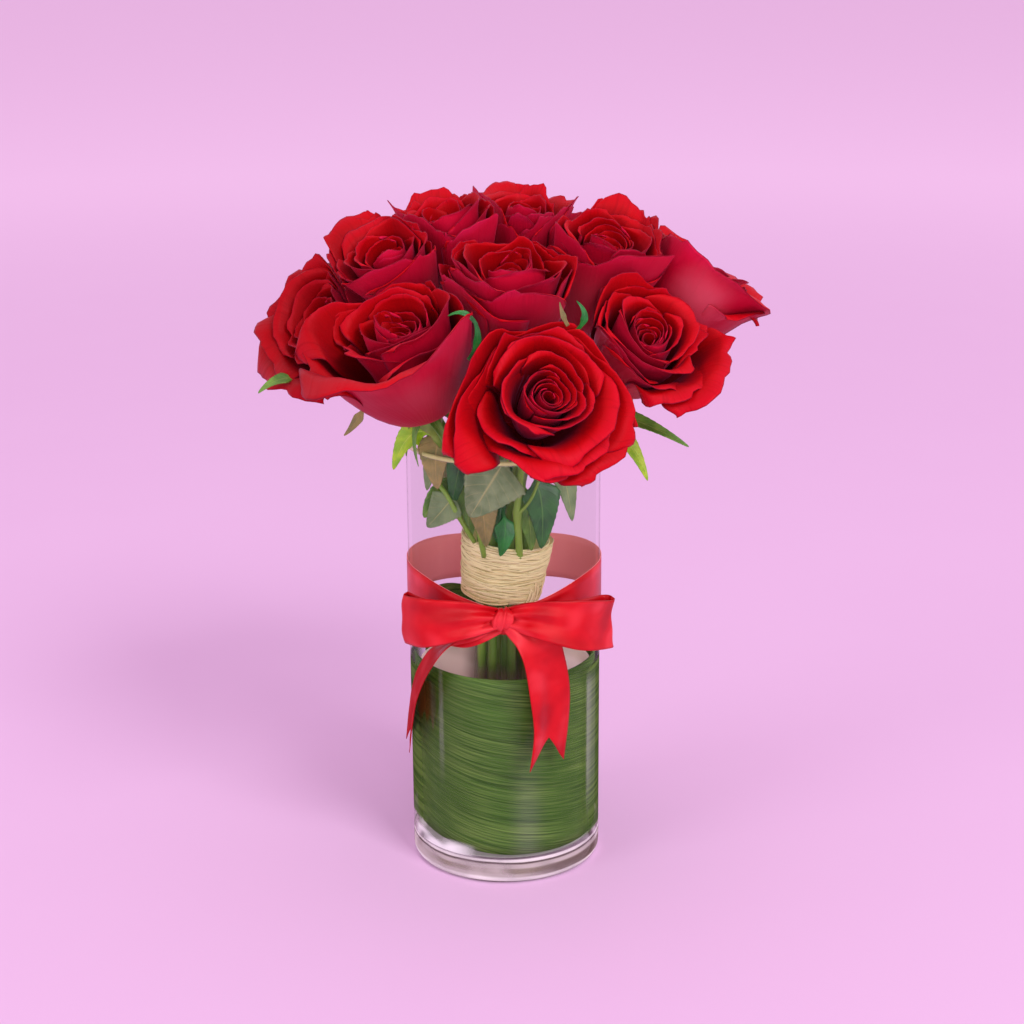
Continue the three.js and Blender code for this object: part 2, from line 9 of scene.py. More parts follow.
# %% Load the solid model
from math import atan2, cos, exp, pi, radians, sin, tanh

import bmesh
import bpy
from mathutils import Matrix, Vector, noise


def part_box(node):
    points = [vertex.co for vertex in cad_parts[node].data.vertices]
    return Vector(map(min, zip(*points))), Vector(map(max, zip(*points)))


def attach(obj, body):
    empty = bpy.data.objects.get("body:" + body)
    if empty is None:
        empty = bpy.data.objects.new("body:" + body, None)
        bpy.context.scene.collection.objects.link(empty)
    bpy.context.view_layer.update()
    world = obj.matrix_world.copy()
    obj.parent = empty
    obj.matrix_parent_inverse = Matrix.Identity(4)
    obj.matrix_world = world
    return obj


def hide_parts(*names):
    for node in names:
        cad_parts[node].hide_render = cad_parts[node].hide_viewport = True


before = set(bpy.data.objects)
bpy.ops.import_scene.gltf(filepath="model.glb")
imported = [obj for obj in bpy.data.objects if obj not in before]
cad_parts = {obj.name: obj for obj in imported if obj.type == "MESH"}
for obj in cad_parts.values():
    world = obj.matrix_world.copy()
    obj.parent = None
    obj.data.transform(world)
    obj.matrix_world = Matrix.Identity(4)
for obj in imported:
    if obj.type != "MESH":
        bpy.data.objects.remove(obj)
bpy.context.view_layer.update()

# Without a seed of its own, this noise would bend the petals in another way at each run.
noise.seed_set(2)

# %% [markdown]
# ## Measures
#
# The shapes are written in millimetres and turned into metres once, when a corner of a mesh is
# placed; only the finishes, the camera and the lamps count in metres. The vase's and the water's
# measures are read off the solid model's own boxes, so what is built on them fits the solids.

# %% Shared measures
MM = 0.001
FULL_TURN = 2 * pi
UP = Vector((0, 0, 1))


def box_mm(node):
    """The lowest and highest corner of a node, in millimetres."""
    low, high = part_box(node)
    return low / MM, high / MM


VASE_RADIUS = box_mm("vase")[1].x
VASE_HEIGHT = box_mm("vase")[1].z
WALL = 2.2
FLOOR = 13.5
INSIDE = VASE_RADIUS - WALL
print(f"vase: {2 * VASE_RADIUS:.0f} mm across, {VASE_HEIGHT:.1f} mm high")


def smoothstep(x, low, high):
    share = min(1.0, max(0.0, (x - low) / (high - low)))
    return share * share * (3 - 2 * share)


def draw(n, k):
    """A repeatable draw from 0 to 1."""
    return sin(n * 12.9898 + k * 78.233) * 43758.5453 % 1


def bezier_weights(t):
    """The shares of a curve's four handles, from t = 0 to t = 1."""
    s = 1 - t
    return s * s * s, 3 * s * s * t, 3 * s * t * t, t * t * t


def line_point(angle, radius, height):
    """A point round the vase's axis: angle 0 is the front, and it grows towards +X."""
    return Vector((radius * sin(angle), -radius * cos(angle), height))


# %% [markdown]
# ## How a piece is made
#
# Petals, leaves, ribbon and raffia are all thin sheets. Each starts as a flat grid, and every
# corner is then carried to its place by one formula of two numbers: u across the sheet, from
# -1 to 1, and v along it, from 0 to 1. The same two numbers become the UV map, so that veins
# and weave follow the sheet however it curls. A Solidify modifier gives the sheet its body.

# %% Grids, turned shapes and tubes
def grid(mesh, across, along, place, tag=(0.0, 0.0), material=0):
    """A patch whose corner (u, v) is carried to place(u, v), in millimetres."""
    corners = bmesh.ops.create_grid(mesh, x_segments=across, y_segments=along, size=1)["verts"]
    where = {corner: (corner.co.x, (corner.co.y + 1) / 2) for corner in corners}
    maps = mesh.loops.layers.uv
    sheet_map, tag_map = (maps.get(name) or maps.new(name) for name in ("sheet", "tag"))
    for face in {face for corner in corners for face in corner.link_faces}:
        face.smooth = True
        face.material_index = material
        for loop in face.loops:
            loop[sheet_map].uv = where[loop.vert]
            loop[tag_map].uv = tag
    for corner, (u, v) in where.items():
        corner.co = place(u, v) * MM
    return corners


def turned(mesh, profile, steps):
    """A profile of (radius, height) pairs, spun round the vase's axis."""
    corners = [mesh.verts.new((radius * MM, 0, height * MM)) for radius, height in profile]
    edges = [mesh.edges.new(pair) for pair in zip(corners, corners[1:])]
    axis = {"cent": (0, 0, 0), "axis": (0, 0, 1), "angle": FULL_TURN}
    bmesh.ops.spin(mesh, geom=corners + edges, steps=steps, use_merge=True, **axis)
    bmesh.ops.remove_doubles(mesh, verts=mesh.verts, dist=0.01 * MM)
    bmesh.ops.recalc_face_normals(mesh, faces=mesh.faces)
    for face in mesh.faces:
        face.smooth = True


def arc(centre, radius, start, end, steps=6):
    """Points of an arc in a profile, from one angle to another, in degrees."""
    angles = [radians(start + (end - start) * k / steps) for k in range(steps + 1)]
    return [(centre[0] + radius * cos(a), centre[1] + radius * sin(a)) for a in angles]


def tube(mesh, stations, sides, material=0):
    """A closed round stalk along (place, direction, radius) stations."""
    ring = bmesh.ops.create_circle(mesh, segments=sides, radius=1, cap_ends=True)["verts"]
    angle_of = {corner: atan2(corner.co.y, corner.co.x) for corner in ring}
    faces = set(ring[0].link_faces)
    edges = {edge for corner in ring for edge in corner.link_edges}
    for index, (place, direction, radius) in enumerate(stations):
        if index:
            made = bmesh.ops.extrude_edge_only(mesh, edges=list(edges))["geom"]
            above = [part for part in made if isinstance(part, bmesh.types.BMVert)]
            edges = {part for part in made if isinstance(part, bmesh.types.BMEdge)}
            faces |= {part for part in made if isinstance(part, bmesh.types.BMFace)}
            below = {corner.co.copy().freeze(): angle_of[corner] for corner in ring}
            angle_of = {corner: below[corner.co.copy().freeze()] for corner in above}
            ring = above
        across = Vector((1, 0, 0)).cross(direction).normalized()
        other = direction.cross(across)
        for corner in ring:
            a = angle_of[corner]
            corner.co = (place + (across * cos(a) + other * sin(a)) * radius) * MM
    faces |= set(bmesh.ops.contextual_create(mesh, geom=list(edges))["faces"])
    bmesh.ops.recalc_face_normals(mesh, faces=list(faces))
    for face in faces:
        face.smooth = True
        face.material_index = material


def add_object(name, data):
    """Puts a mesh, a lamp or a camera into the scene."""
    added = bpy.data.objects.new(name, data)
    bpy.context.scene.collection.objects.link(added)
    return added


def add_mesh(name, mesh, finishes):
    """Turns a bmesh into an object with these finishes."""
    data = bpy.data.meshes.new(name)
    mesh.to_mesh(data)
    mesh.free()
    for finish in finishes:
        data.materials.append(finish.material)
    return add_object(name, data)


def make_piece(node, mesh, finishes):
    """A mesh that rides on the model and stands for the node that it is named after."""
    piece = add_mesh(node, mesh, finishes)
    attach(piece, "root")
    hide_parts(node)
    print(f"{node}: {len(piece.data.polygons)} faces")
    return piece


def thicken(piece, thickness, back=0):
    """Gives a sheet its body; back is how many slots further on its other side's finish is."""
    solid = piece.modifiers.new("body", "SOLIDIFY")
    solid.thickness = thickness * MM
    solid.offset = 0
    solid.material_offset = back
    return solid


# %% [markdown]
# ## How a finish is made
#
# A finish is a Principled shader whose colour, roughness and bump change over the surface. Its
# sums are written as Python expressions: each operator adds one Math node. What is the same
# all over is set on the shader's own socket.

# %% Shader sums
class Value:
    """A socket that can be used in sums."""

    def __init__(self, finish, socket):
        self.finish = finish
        self.socket = socket

    def math(self, operation, *others):
        return self.finish.node("Math", (self, *others), operation=operation)

    def __add__(self, other):
        return self.math("ADD", other)

    def __sub__(self, other):
        return self.math("SUBTRACT", other)

    def __rsub__(self, other):
        return self.finish.node("Math", (other, self), operation="SUBTRACT")

    def __mul__(self, other):
        return self.math("MULTIPLY", other)

    def __pow__(self, other):
        return self.math("POWER", other)

    __radd__ = __add__
    __rmul__ = __mul__

    def size(self):
        return self.math("ABSOLUTE")

    def wave(self):
        return self.math("SINE")

    def step(self, low, high):
        """0 below low, 1 above high, and smooth between them."""
        values = (self, low, high, 0.0, 1.0)
        return self.finish.node("MapRange", values, interpolation_type="SMOOTHSTEP")

    def fade(self, low, high):
        """1 below low, 0 above high, and smooth between them."""
        return 1 - self.step(low, high)

    def between(self, rise, fall):
        """1 between two soft edges, each given as where it starts and where it ends."""
        return self.step(*rise) - self.step(*fall)

    def at_most(self, most):
        return self.math("MINIMUM", most)


class Finish:
    """One material, built from sums."""

    def __init__(self, name, **constants):
        self.material = bpy.data.materials.new(name)
        self.material.use_nodes = True
        self.tree = self.material.node_tree
        self.shader = self.tree.nodes["Principled BSDF"]
        self.give(**constants)

    def give(self, **sockets):
        """Sets or links sockets of the shader, whose names have _ for each space here."""
        for socket, value in sockets.items():
            self.join(self.shader.inputs[socket.replace("_", " ")], value)

    def join(self, socket, value):
        if isinstance(value, Value):
            self.tree.links.new(value.socket, socket)
        elif socket.type == "RGBA":
            socket.default_value = (*value, 1.0)
        else:
            socket.default_value = value

    def node(self, kind, values=(), output=0, **settings):
        """Any node: its kind, the values or links of its sockets, and its settings."""
        made = self.tree.nodes.new("ShaderNode" + kind)
        for setting, value in settings.items():
            setattr(made, setting, value)
        pairs = values.items() if isinstance(values, dict) else enumerate(values)
        for socket, value in pairs:
            self.join(made.inputs[socket], value)
        return Value(self, made.outputs[output])

    def mix(self, share, first, second):
        """A colour between two others."""
        return self.node("Mix", {0: share, 6: first, 7: second}, output=2, data_type="RGBA")

    def paint(self, color, *layers):
        """A colour with others laid over it in turn, each by its share."""
        for share, over in layers:
            color = self.mix(share, color, over)
        return color

    def glow(self, color, strength):
        """A little light of its own, in place of light that would come through the piece."""
        self.give(Emission_Color=color, Emission_Strength=strength)

    def split(self, where, parts):
        return [self.node("SeparateXYZ", (where,), output=k) for k in range(parts)]

    def uv(self, name):
        """The two numbers of a UV map."""
        return self.split(self.node("UVMap", uv_map=name), 2)

    def place(self):
        """Object coordinates, in metres, as three numbers."""
        return self.split(self.node("TexCoord", output=3), 3)

    def grain(self, x, y, z, detail=2.0):
        """Noise at a point made of three numbers or sums."""
        where = self.node("CombineXYZ", (x, y, z))
        return self.node("TexNoise", {"Vector": where, "Scale": 1.0, "Detail": detail})

    def edge_on(self):
        """0 where the surface is seen from the front, 1 where it is seen along its length."""
        return self.node("LayerWeight", {"Blend": 0.5}, output=1)

    def see_through(self, shine, tint):
        """Clear where shine is 0: what is behind shows through, and lamps shine through."""
        clear = self.node("BsdfTransparent", (tint,))
        mixed = self.node("MixShader", (shine, clear, Value(self, self.shader.outputs[0])))
        self.join(self.tree.nodes["Material Output"].inputs[0], mixed)

    def bump(self, height, depth):
        """Relief of that depth in millimetres."""
        sockets = {"Height": height, "Strength": 1.0, "Distance": depth * MM}
        self.give(Normal=self.node("Bump", sockets))


# %% [markdown]
# ## Room and camera
#
# The object stands on a plain pale floor in soft light: a large lamp at the right in front,
# weaker ones at the left and low in front, and an even glow from all round, as in a light tent.
# The camera was solved from the ellipses of the vase's rim, water and base.

# %% Camera
CAMERA_PLACE = Vector((0, -985.1, 486.7)) * MM
CAMERA_PITCH = radians(16.87)
CAMERA_YAW = radians(0.25)
CAMERA_ROLL = radians(-0.4)
FOCAL_PIXELS = 1985
PHOTO_PIXELS = 1024
SENSOR = 36


def make_camera():
    level = Vector((sin(CAMERA_YAW), cos(CAMERA_YAW), 0))
    ahead = level * cos(CAMERA_PITCH) - Vector((0, 0, sin(CAMERA_PITCH)))
    right = ahead.cross(UP).normalized()
    up = right.cross(ahead)
    along, askew = cos(CAMERA_ROLL), sin(CAMERA_ROLL)
    sides = (right * along + up * askew, up * along - right * askew, -ahead)
    data = bpy.data.cameras.new("camera")
    data.sensor_width = SENSOR
    data.lens = FOCAL_PIXELS * SENSOR / PHOTO_PIXELS
    camera = add_object("camera", data)
    camera.matrix_world = Matrix.Translation(CAMERA_PLACE) @ Matrix(sides).transposed().to_4x4()
    bpy.context.scene.camera = camera
    print(f"camera: {data.lens:.1f} mm lens")


make_camera()

# %% Floor and light
ROOM_COLOR = (0.92, 0.7, 0.89)
ROOM_GLOW = 0.92
FLOOR_RADIUS = 30.0
PALE_FROM = 3.0


def make_room():
    world = bpy.data.worlds.new("glow")
    bpy.context.scene.world = world
    world.use_nodes = True
    glow = world.node_tree.nodes["Background"]
    glow.inputs["Color"].default_value = (*ROOM_COLOR, 1)
    glow.inputs["Strength"].default_value = ROOM_GLOW
    paper = Finish("paper", Roughness=0.9, Specular_IOR_Level=0.1)
    x, y, _ = paper.place()
    mottle = paper.grain(x * 9, y * 9, 0.0)
    near = (x * x + y * y).fade(0.0, PALE_FROM**2)
    layers = (near, (0.76, 0.51, 0.74)), (mottle * 0.05, (0.95, 0.75, 0.93))
    paper.give(Base_Color=paper.paint((0.94, 0.68, 0.91), *layers))
    mesh = bmesh.new()
    bmesh.ops.create_circle(mesh, segments=96, radius=FLOOR_RADIUS, cap_ends=True)
    floor = add_mesh("floor", mesh, [paper])


def make_lamp(name, place, watts, size, aim=(0, 0, 0.25)):
    data = bpy.data.lights.new(name, "AREA")
    data.energy = watts
    data.size = size
    lamp = add_object(name, data)
    turn = (Vector(aim) - Vector(place)).to_track_quat("-Z", "Y").to_matrix().to_4x4()
    lamp.matrix_world = Matrix.Translation(place) @ turn


make_room()
make_lamp("key", (1.9, -2.9, 3.2), 92, 1.5)
make_lamp("fill", (-2.9, -2.2, 1.9), 26, 1.6)
make_lamp("front", (0.3, -3.6, 0.7), 30, 1.2)
bpy.context.scene.view_settings.view_transform = "Standard"

# %% [markdown]
# ## The glass vase
#
# A straight cylinder with a heavy clear base. It is turned: half of its section is drawn as a
# profile, with arcs for the heel, the rim and the corner inside, and spun round the axis. The
# finish lets what is behind show through, and paints in the light and shade that the eye finds
# in glass: dark edges where the wall is seen along its length, with the lining leaf painted into
# them, bright and dark bands of bent light in the thick base, which also glows a little, the
# light rim and a few soft reflections and highlights. The edges follow the view, and the rest is
# placed by Object coordinates.

# %% Vase
HEEL = 4.0
RIM_ROUND = WALL / 2
CORNER = 2.0


def vase_profile():
    heel = arc((VASE_RADIUS - HEEL, HEEL), HEEL, -90, 0, 8)
    rim = arc((VASE_RADIUS - RIM_ROUND, VASE_HEIGHT - RIM_ROUND), RIM_ROUND, 0, 180, 10)
    corner = arc((INSIDE - CORNER, FLOOR + CORNER), CORNER, 0, -90, 8)
    return [(0, 0), *heel, *rim, *corner, (0, FLOOR)]


# Between these radii, squared and in metres, the wall's inside gives way to its outside.
OUTER_WALL = (0.0485**2, 0.0495**2)
# Colours of the painted bands of bent light in the thick base.
DARK, OLIVE = (0.09, 0.06, 0.04), (0.33, 0.29, 0.2)
PALE, WHITE = (0.62, 0.57, 0.52), (1.0, 0.99, 0.94)
BLACK = (0.0, 0.0, 0.0)
# The height in metres where the lining leaf ends that is painted into the edges of the glass,
# as it is seen bent there.
EDGE_LEAF_TOP = (0.11, 0.1125)


def painted_base_refraction(glass, x, height, drift):
    """Painted bands of bent light in the thick base, bright and dark, from the foot up, by height
    in millimetres.
    """
    under = height.between((3.4, 4.6), (8.0, 10.0))
    return glass.paint(
        DARK,
        (height.step(0.6, 1.6), WHITE),
        (height.step(3.0, 4.6), PALE),
        (height.step(5.2, 6.6) * drift.step(0.36, 0.56), OLIVE),
        (height.step(8.2, 9.6), PALE),
        (height.step(11.0, 12.0), DARK),
        (height.step(12.3, 13.0), WHITE),
        (under * x.step(0.0, 0.03) * 0.9, (0.12, 0.08, 0.055)),
    )


def room_shine(x, left, z, drift):
    """Painted highlights: how bright the front of the glass shines.

    They are two streaks, a low glint and the right side.
    """
    soft = x.between((-0.002, 0.01), (0.012, 0.024)) * z.fade(0.03, 0.1) * 0.07
    thin = x.between((-0.035, -0.0335), (-0.0325, -0.031)) * z.step(0.04, 0.08)
    streaks = (soft + thin * z.fade(0.115, 0.125) * 0.09) * z.step(0.012, 0.02)
    glint = left.between((0.012, 0.03), (0.046, 0.049)) * drift.step(0.34, 0.52)
    glint = glint * z.between((0.0143, 0.015), (0.019, 0.0225)) * 0.85
    side = x.between((0.0415, 0.043), (0.0465, 0.048)) * z.fade(0.1, 0.112)
    return streaks + glint + side * z.step(0.02, 0.06) * 0.07


def mirrored_tail(glass, x, y, left, z):
    """A painted reflection: where the left tail of the ribbon is mirrored in the glass, with a
    ragged edge.
    """
    ragged = glass.grain(x * 300, y * 300, z * 30) * 0.03
    tail = (left + ragged * 0.2).step(0.037, 0.043) * (z + ragged).step(0.098, 0.104)
    return tail * z.fade(0.105, 0.109) * left.fade(0.0465, 0.048)


def make_vase():
    glass = Finish("clear_glass", Roughness=0.03, Specular_IOR_Level=0.0)
    x, y, z = glass.place()
    left = x * -1
    outer = (x * x + y * y).step(*OUTER_WALL)
    facing = (y * -1).step(0.0, 0.02)
    front = facing * outer
    edge = glass.edge_on() * outer
    drift = glass.grain(x * 26, y * 26, z * 60, 2.0)
    bent = painted_base_refraction(glass, x, z * (1 / MM) + (drift - 0.5) * 2.4, drift)
    base = z.fade((FLOOR + 0.2) * MM, (FLOOR + 1.4) * MM)
    lip = z.step((VASE_HEIGHT - 2.4) * MM, (VASE_HEIGHT - 1.6) * MM) * facing
    low = 17.0 + left.step(0.0, 0.02) * 8.0
    # Painted: the lining leaf as it is seen bent in the wall's edges.
    band = edge.step(0.42, 0.68) * ((z * (1 / MM) - low).step(-1.5, 1.5) - z.step(*EDGE_LEAF_TOP))
    behind = band.step(0.0, 0.04)
    streak = glass.grain(x * 6, y * 6, z * 700, 2.0).step(0.35, 0.65)
    green = glass.mix(streak, (0.035, 0.085, 0.014), (0.11, 0.19, 0.04))
    # Painted highlights on the front of the glass.
    shine = front * room_shine(x, left, z, drift)
    lit = (shine * 8).at_most(1.0)
    # Painted reflection of the ribbon's left tail.
    tail = front * mirrored_tail(glass, x, y, left, z)
    # Painted light and shade of the glass, in turn: the base's bands, the leaf in the edges, the
    # dark edges, the highlights and the tail's reflection; last comes the light line along the rim.
    color = glass.paint(
        (0.36, 0.36, 0.34),
        (base, bent),
        (behind, green),
        (edge.step(0.92, 0.96), (0.16, 0.13, 0.13)),
        (lit * (1 - band * 0.86), (0.9, 0.92, 0.9)),
        (tail, (0.115, 0.055, 0.012)),
        (lip, (0.64, 0.66, 0.28)),
    )
    metal = (1 - behind) * (1 - base * 0.75) * (1 - lip) * (1 - lit) * (1 - tail)
    glass.give(Base_Color=color, Metallic=metal)
    # Painted light: the thick base glows with its bands.
    glass.glow(glass.mix(base, BLACK, bent), 0.16)
    wall = 0.012 + edge.step(0.8, 0.95) * 0.5 + lip * 0.75
    share = wall + shine + tail * 0.55 + base * (0.42 + (drift - 0.5).size() * 1.6) + band * 0.9
    glass.see_through(share.at_most(0.92), (0.97, 0.975, 0.97))
    mesh = bmesh.new()
    turned(mesh, vase_profile(), 128)
    make_piece("vase", mesh, [glass])


make_vase()

# %% [markdown]
# ## The water
#
# Still water is a clear body whose surface climbs a little where it meets what holds it. It is
# turned like the glass, and kept just inside the lining leaf.

# %% Water
WATER_TOP = box_mm("water")[1].z
WATER_RADIUS = box_mm("water")[1].x + 0.3
CREEP = 1.0


def make_water():
    clear = Finish("still_water", Roughness=0.12)
    x, y, z = clear.place()
    # The surface's pale pink tone is a painted reflection of the room.
    surface_tone = clear.grain(x * 40, y * 40, z * 40)
    clear.give(Base_Color=clear.mix(surface_tone, (0.72, 0.54, 0.5), (0.86, 0.7, 0.65)))
    top = z.step((WATER_TOP - 1.6) * MM, (WATER_TOP - 0.9) * MM)
    # Painted light: the sides of the surface glow a little.
    side = top * x.size().step(0.01, 0.024)
    clear.glow(clear.mix(side, BLACK, (0.8, 0.56, 0.53)), 0.3)
    clear.see_through(0.006 + top * 0.12 + side * 0.68, (0.985, 0.985, 0.97))
    low = box_mm("water")[0].z
    foot = arc((WATER_RADIUS - HEEL, low + HEEL), HEEL, -90, 0)
    creep = [
        (WATER_RADIUS - 4 * CREEP * share, WATER_TOP - CREEP * (1 - (1 - share) ** 3))
        for share in (0, 0.15, 0.3, 0.5, 0.75, 1)
    ]
    mesh = bmesh.new()
    turned(mesh, [(0, low), *foot, *creep, (0, WATER_TOP - CREEP)], 96)
    make_piece("water", mesh, [clear])


make_water()

# %% [markdown]
# ## The lining leaf
#
# One long broad leaf is rolled inside the glass, so that its veins run round the vase. Its tip
# starts at the left, low and narrow, and its broad end lies over the tip again at the back. The
# streaks are noise that is stretched along the leaf: many lines across, few along.

# %% Lining leaf
LEAF_START = radians(-126)
LEAF_TURN = radians(372)
LEAF_TOP = 114
LEAF_LOW = FLOOR + 2.6
LEAF_GAP = 0.35
LEAF_THICKNESS = 0.5


def lining_leaf_point(u, v):
    angle = LEAF_START + v * LEAF_TURN
    inward = 0.8 * smoothstep(v, 0.6, 1)
    tip = 1 - smoothstep(v, 0, 0.16)
    taper = 22 * tip**2
    low = LEAF_LOW + 7.5 * (1 - smoothstep(v, 0.08, 0.36)) + taper + 0.5 * sin(9 * v + 1)
    high = LEAF_TOP - taper + 24 * smoothstep(v, 0.72, 0.95) + 0.7 * sin(13 * v)
    return line_point(angle, INSIDE - LEAF_GAP - inward, low + (high - low) * (u + 1) / 2)


def make_lining_leaf():
    leaf = Finish("lining_leaf", Specular_IOR_Level=0.15)
    u, v = leaf.uv("sheet")
    slant = u + v * 0.9
    streak = leaf.grain(v * 4.5, slant * 70, 0.0, 3.0)
    hair = leaf.grain(v * 9, slant * 190, 4.0, 1.0)
    patch = leaf.grain(v * 9, slant * 3, 8.0, 2.0).step(0.42, 0.72)
    light = (0.25, 0.38, 0.09)
    color = leaf.paint(
        (0.02, 0.068, 0.007),
        (streak.step(0.32, 0.62), (0.06, 0.15, 0.018)),
        (hair.step(0.5, 0.7) * 0.6, light),
        (patch * streak.step(0.4, 0.65) * 0.5, light),
    )
    leaf.give(Base_Color=color, Roughness=0.36 + hair * 0.2)
    leaf.bump(hair + streak * 0.6, 0.06)
    mesh = bmesh.new()
    grid(mesh, 16, 200, lining_leaf_point)
    thicken(make_piece("lining_leaf", mesh, [leaf]), LEAF_THICKNESS)


make_lining_leaf()

# %% [markdown]
# ## The raffia binding
#
# Raffia is a flat dry strip split from a palm leaf. The binding is many such strips, wound one
# over another, so each strand is its own sheet here: it goes once round the stems, rises or
# falls a little, and lies as far out as its turn in the winding. A few strands cross the others
# where the end was tucked in.

# %% Raffia
BINDING_LOW, BINDING_HIGH = 144.0, 175.0
BINDING_RADII = (19.0, 22.6)
BINDING_TILT = radians(7)
STRANDS = 92
CROSSING = 6
STRAND_THICKNESS = 0.3


def binding_point(angle, share, lift):
    """A point of the winding at a share of its height, tilted as the whole binding is."""
    radius = BINDING_RADII[0] + (BINDING_RADII[1] - BINDING_RADII[0]) * share + lift
    point = line_point(angle, radius, (share - 0.5) * (BINDING_HIGH - BINDING_LOW))
    tilt = Matrix.Rotation(BINDING_TILT, 3, "Y")
    return tilt @ point + Vector((0, 0, (BINDING_LOW + BINDING_HIGH) / 2))


def raffia_strand(k):
    start = FULL_TURN * draw(k, 1)
    height = 0.03 + 0.94 * ((k * 11) % STRANDS) / (STRANDS - 1)
    climb = 0.2 * (draw(k, 2) - 0.5)
    width = 0.011 + 0.013 * draw(k, 3)
    lift = 0.2 + 1.4 * draw(k, 4)
    phase = FULL_TURN * draw(k, 5)

    def point(u, v):
        angle = start + FULL_TURN * 1.04 * v
        sway = 0.03 * sin(2 * angle + phase) + 0.014 * sin(5 * angle + 2 * phase)
        twist = 0.55 + 0.45 * sin(3 * angle + phase)
        share = height + climb * (v - 0.5) + sway + width * u * (0.6 + 0.4 * twist)
        bow = 0.35 * (1 - u * u) + 0.3 * v * (1 if k % 2 else -1)
        return binding_point(angle, min(1.02, max(-0.02, share)), lift + bow)

    return point


def raffia_cross(k):
    angle = radians(38 + 7 * k)
    lean = radians(9 * (draw(k, 6) - 0.3))

    def point(u, v):
        share = -0.02 + (0.3 + 0.18 * draw(k, 7)) * v
        bulge = 1.2 + 0.9 * sin(pi * v)
        return binding_point(angle + lean * v + 0.05 * u, share, bulge + 0.25 * (1 - u * u))

    return point


def make_binding():
    raffia = Finish("raffia", Roughness=0.7, Specular_IOR_Level=0.2)
    u, v = raffia.uv("sheet")
    tone, _ = raffia.uv("tag")
    fibre = raffia.grain(u * 9, v * 3, tone * 40, 2.0)
    hair = raffia.grain(u * 34, v * 9, tone * 90, 1.0)
    pale, straw = (1.0, 0.97, 0.6), (1.0, 0.88, 0.46)
    color = raffia.paint(
        straw,
        (fibre.step(0.35, 0.7), pale),
        (hair.step(0.58, 0.75) * 0.5, (0.6, 0.4, 0.14)),
        (tone * 0.35, pale),
        (tone.fade(0.05, 0.25) * 0.35, (0.74, 0.54, 0.22)),
        # Painted shade: the edges of each strand are darker, as in the gaps between the strands.
        (u.size().step(0.55, 1.0) * 0.75, (0.42, 0.26, 0.08)),
    )
    raffia.give(Base_Color=color)
    # Painted light: the raffia glows a little, as if more light reached it under the blooms.
    raffia.glow(raffia.mix(fibre, (0.3, 0.26, 0.1), (0.42, 0.38, 0.16)), 0.22)
    raffia.bump(hair + fibre, 0.25)
    mesh = bmesh.new()
    for k in range(STRANDS):
        grid(mesh, 3, 84, raffia_strand(k), tag=(draw(k, 9), 0))
    for k in range(CROSSING):
        grid(mesh, 2, 14, raffia_cross(k), tag=(draw(k, 8), 0))
    grid(mesh, 60, 6, lambda u, v: binding_point(pi * u, v, -0.6), tag=(0.2, 0))
    thicken(make_piece("raffia_binding", mesh, [raffia]), STRAND_THICKNESS)


make_binding()

# %% [markdown]
# ## The satin ribbon
#
# The bow is one length of satin. A strip is laid along a smooth line of stations, each with its
# middle and the way across the strip. Where the knot pinches the strip, the width that is lost
# goes into folds: the sheet waves in and out, more the narrower it is. Satin shines along its
# threads, so the shader's highlight is stretched, and a fine weave ripples it.

# %% Ribbon shapes
RIBBON_WIDTH = 25.0
RIBBON_THICKNESS = 0.35
BAND_MIDDLE = 147.5
BAND_LIFT = 5.5
BAND_RADIUS = VASE_RADIUS + 0.6
KNOT = Vector((-1, -55.2, 149))


def spline(points, v):
    """A smooth line through a list of vectors, from v = 0 to v = 1."""
    place = min(max(v, 0.0), 1.0) * (len(points) - 1)
    k = min(int(place), len(points) - 2)
    t = place - k
    b, c = points[k], points[k + 1]
    a = points[k - 1] if k else b * 2 - c
    d = points[k + 2] if k + 2 < len(points) else c * 2 - b
    cubic = (b - c) * 3 + d - a
    return b + ((c - a) + ((a * 2 - b * 5 + c * 4 - d) + cubic * t) * t) * t / 2


def strip(stations, folds, phase=0.0):
    """A ribbon along (middle, across) stations, folded where it is pinched."""
    middles = [Vector(middle) for middle, _ in stations]
    acrosses = [Vector(across) for _, across in stations]
    step = 0.01

    def point(u, v):
        across = spline(acrosses, v)
        ahead = spline(middles, v + step) - spline(middles, v - step)
        out = across.cross(ahead).normalized()
        lost = max(0.0, 1 - across.length)
        fold = 3.4 * lost * sin(folds * u + phase + 1.5 * v)
        ripple = 0.35 * sin(5 * u + 9 * v + phase) * smoothstep(v, 0, 0.3)
        ripple -= 1.3 * u * u * (1 - lost)
        return spline(middles, v) + across * (u * RIBBON_WIDTH / 2) + out * (fold + ripple)

    return point


def band_point(u, v):
    angle = pi * (2 * v - 1)
    front = 1 - smoothstep(abs(angle), 0, 1.1)
    middle = BAND_MIDDLE + BAND_LIFT * abs(sin(angle)) - 1.5 * front
    half = RIBBON_WIDTH / 2 * (1 - 0.45 * front)
    fold = 0.5 * front * (1 + sin(7 * u + 4 * angle))
    return line_point(angle, BAND_RADIUS + fold, middle + half * u)


def knot_point(u, v):
    """The short wrap over the middle of the bow, from behind its top to behind its foot."""
    angle = radians(-25 + 230 * v)
    waist = 0.86 + 0.14 * cos(2 * (angle - pi / 2))
    fold = 0.45 * sin(8 * u + 2 * v) + 0.25 * sin(15 * u)
    out = 1 - 0.45 * u**4
    y = -(4.2 * out + fold) * sin(angle)
    z = (5.8 * out + fold) * cos(angle)
    return KNOT + Vector((5.6 * u * waist + 1.2 * z / 6, y, z))


# %% Ribbon stations
FLAT = (0, 0.1, 0.995)
PINCH = (0, 0.1, 0.35)


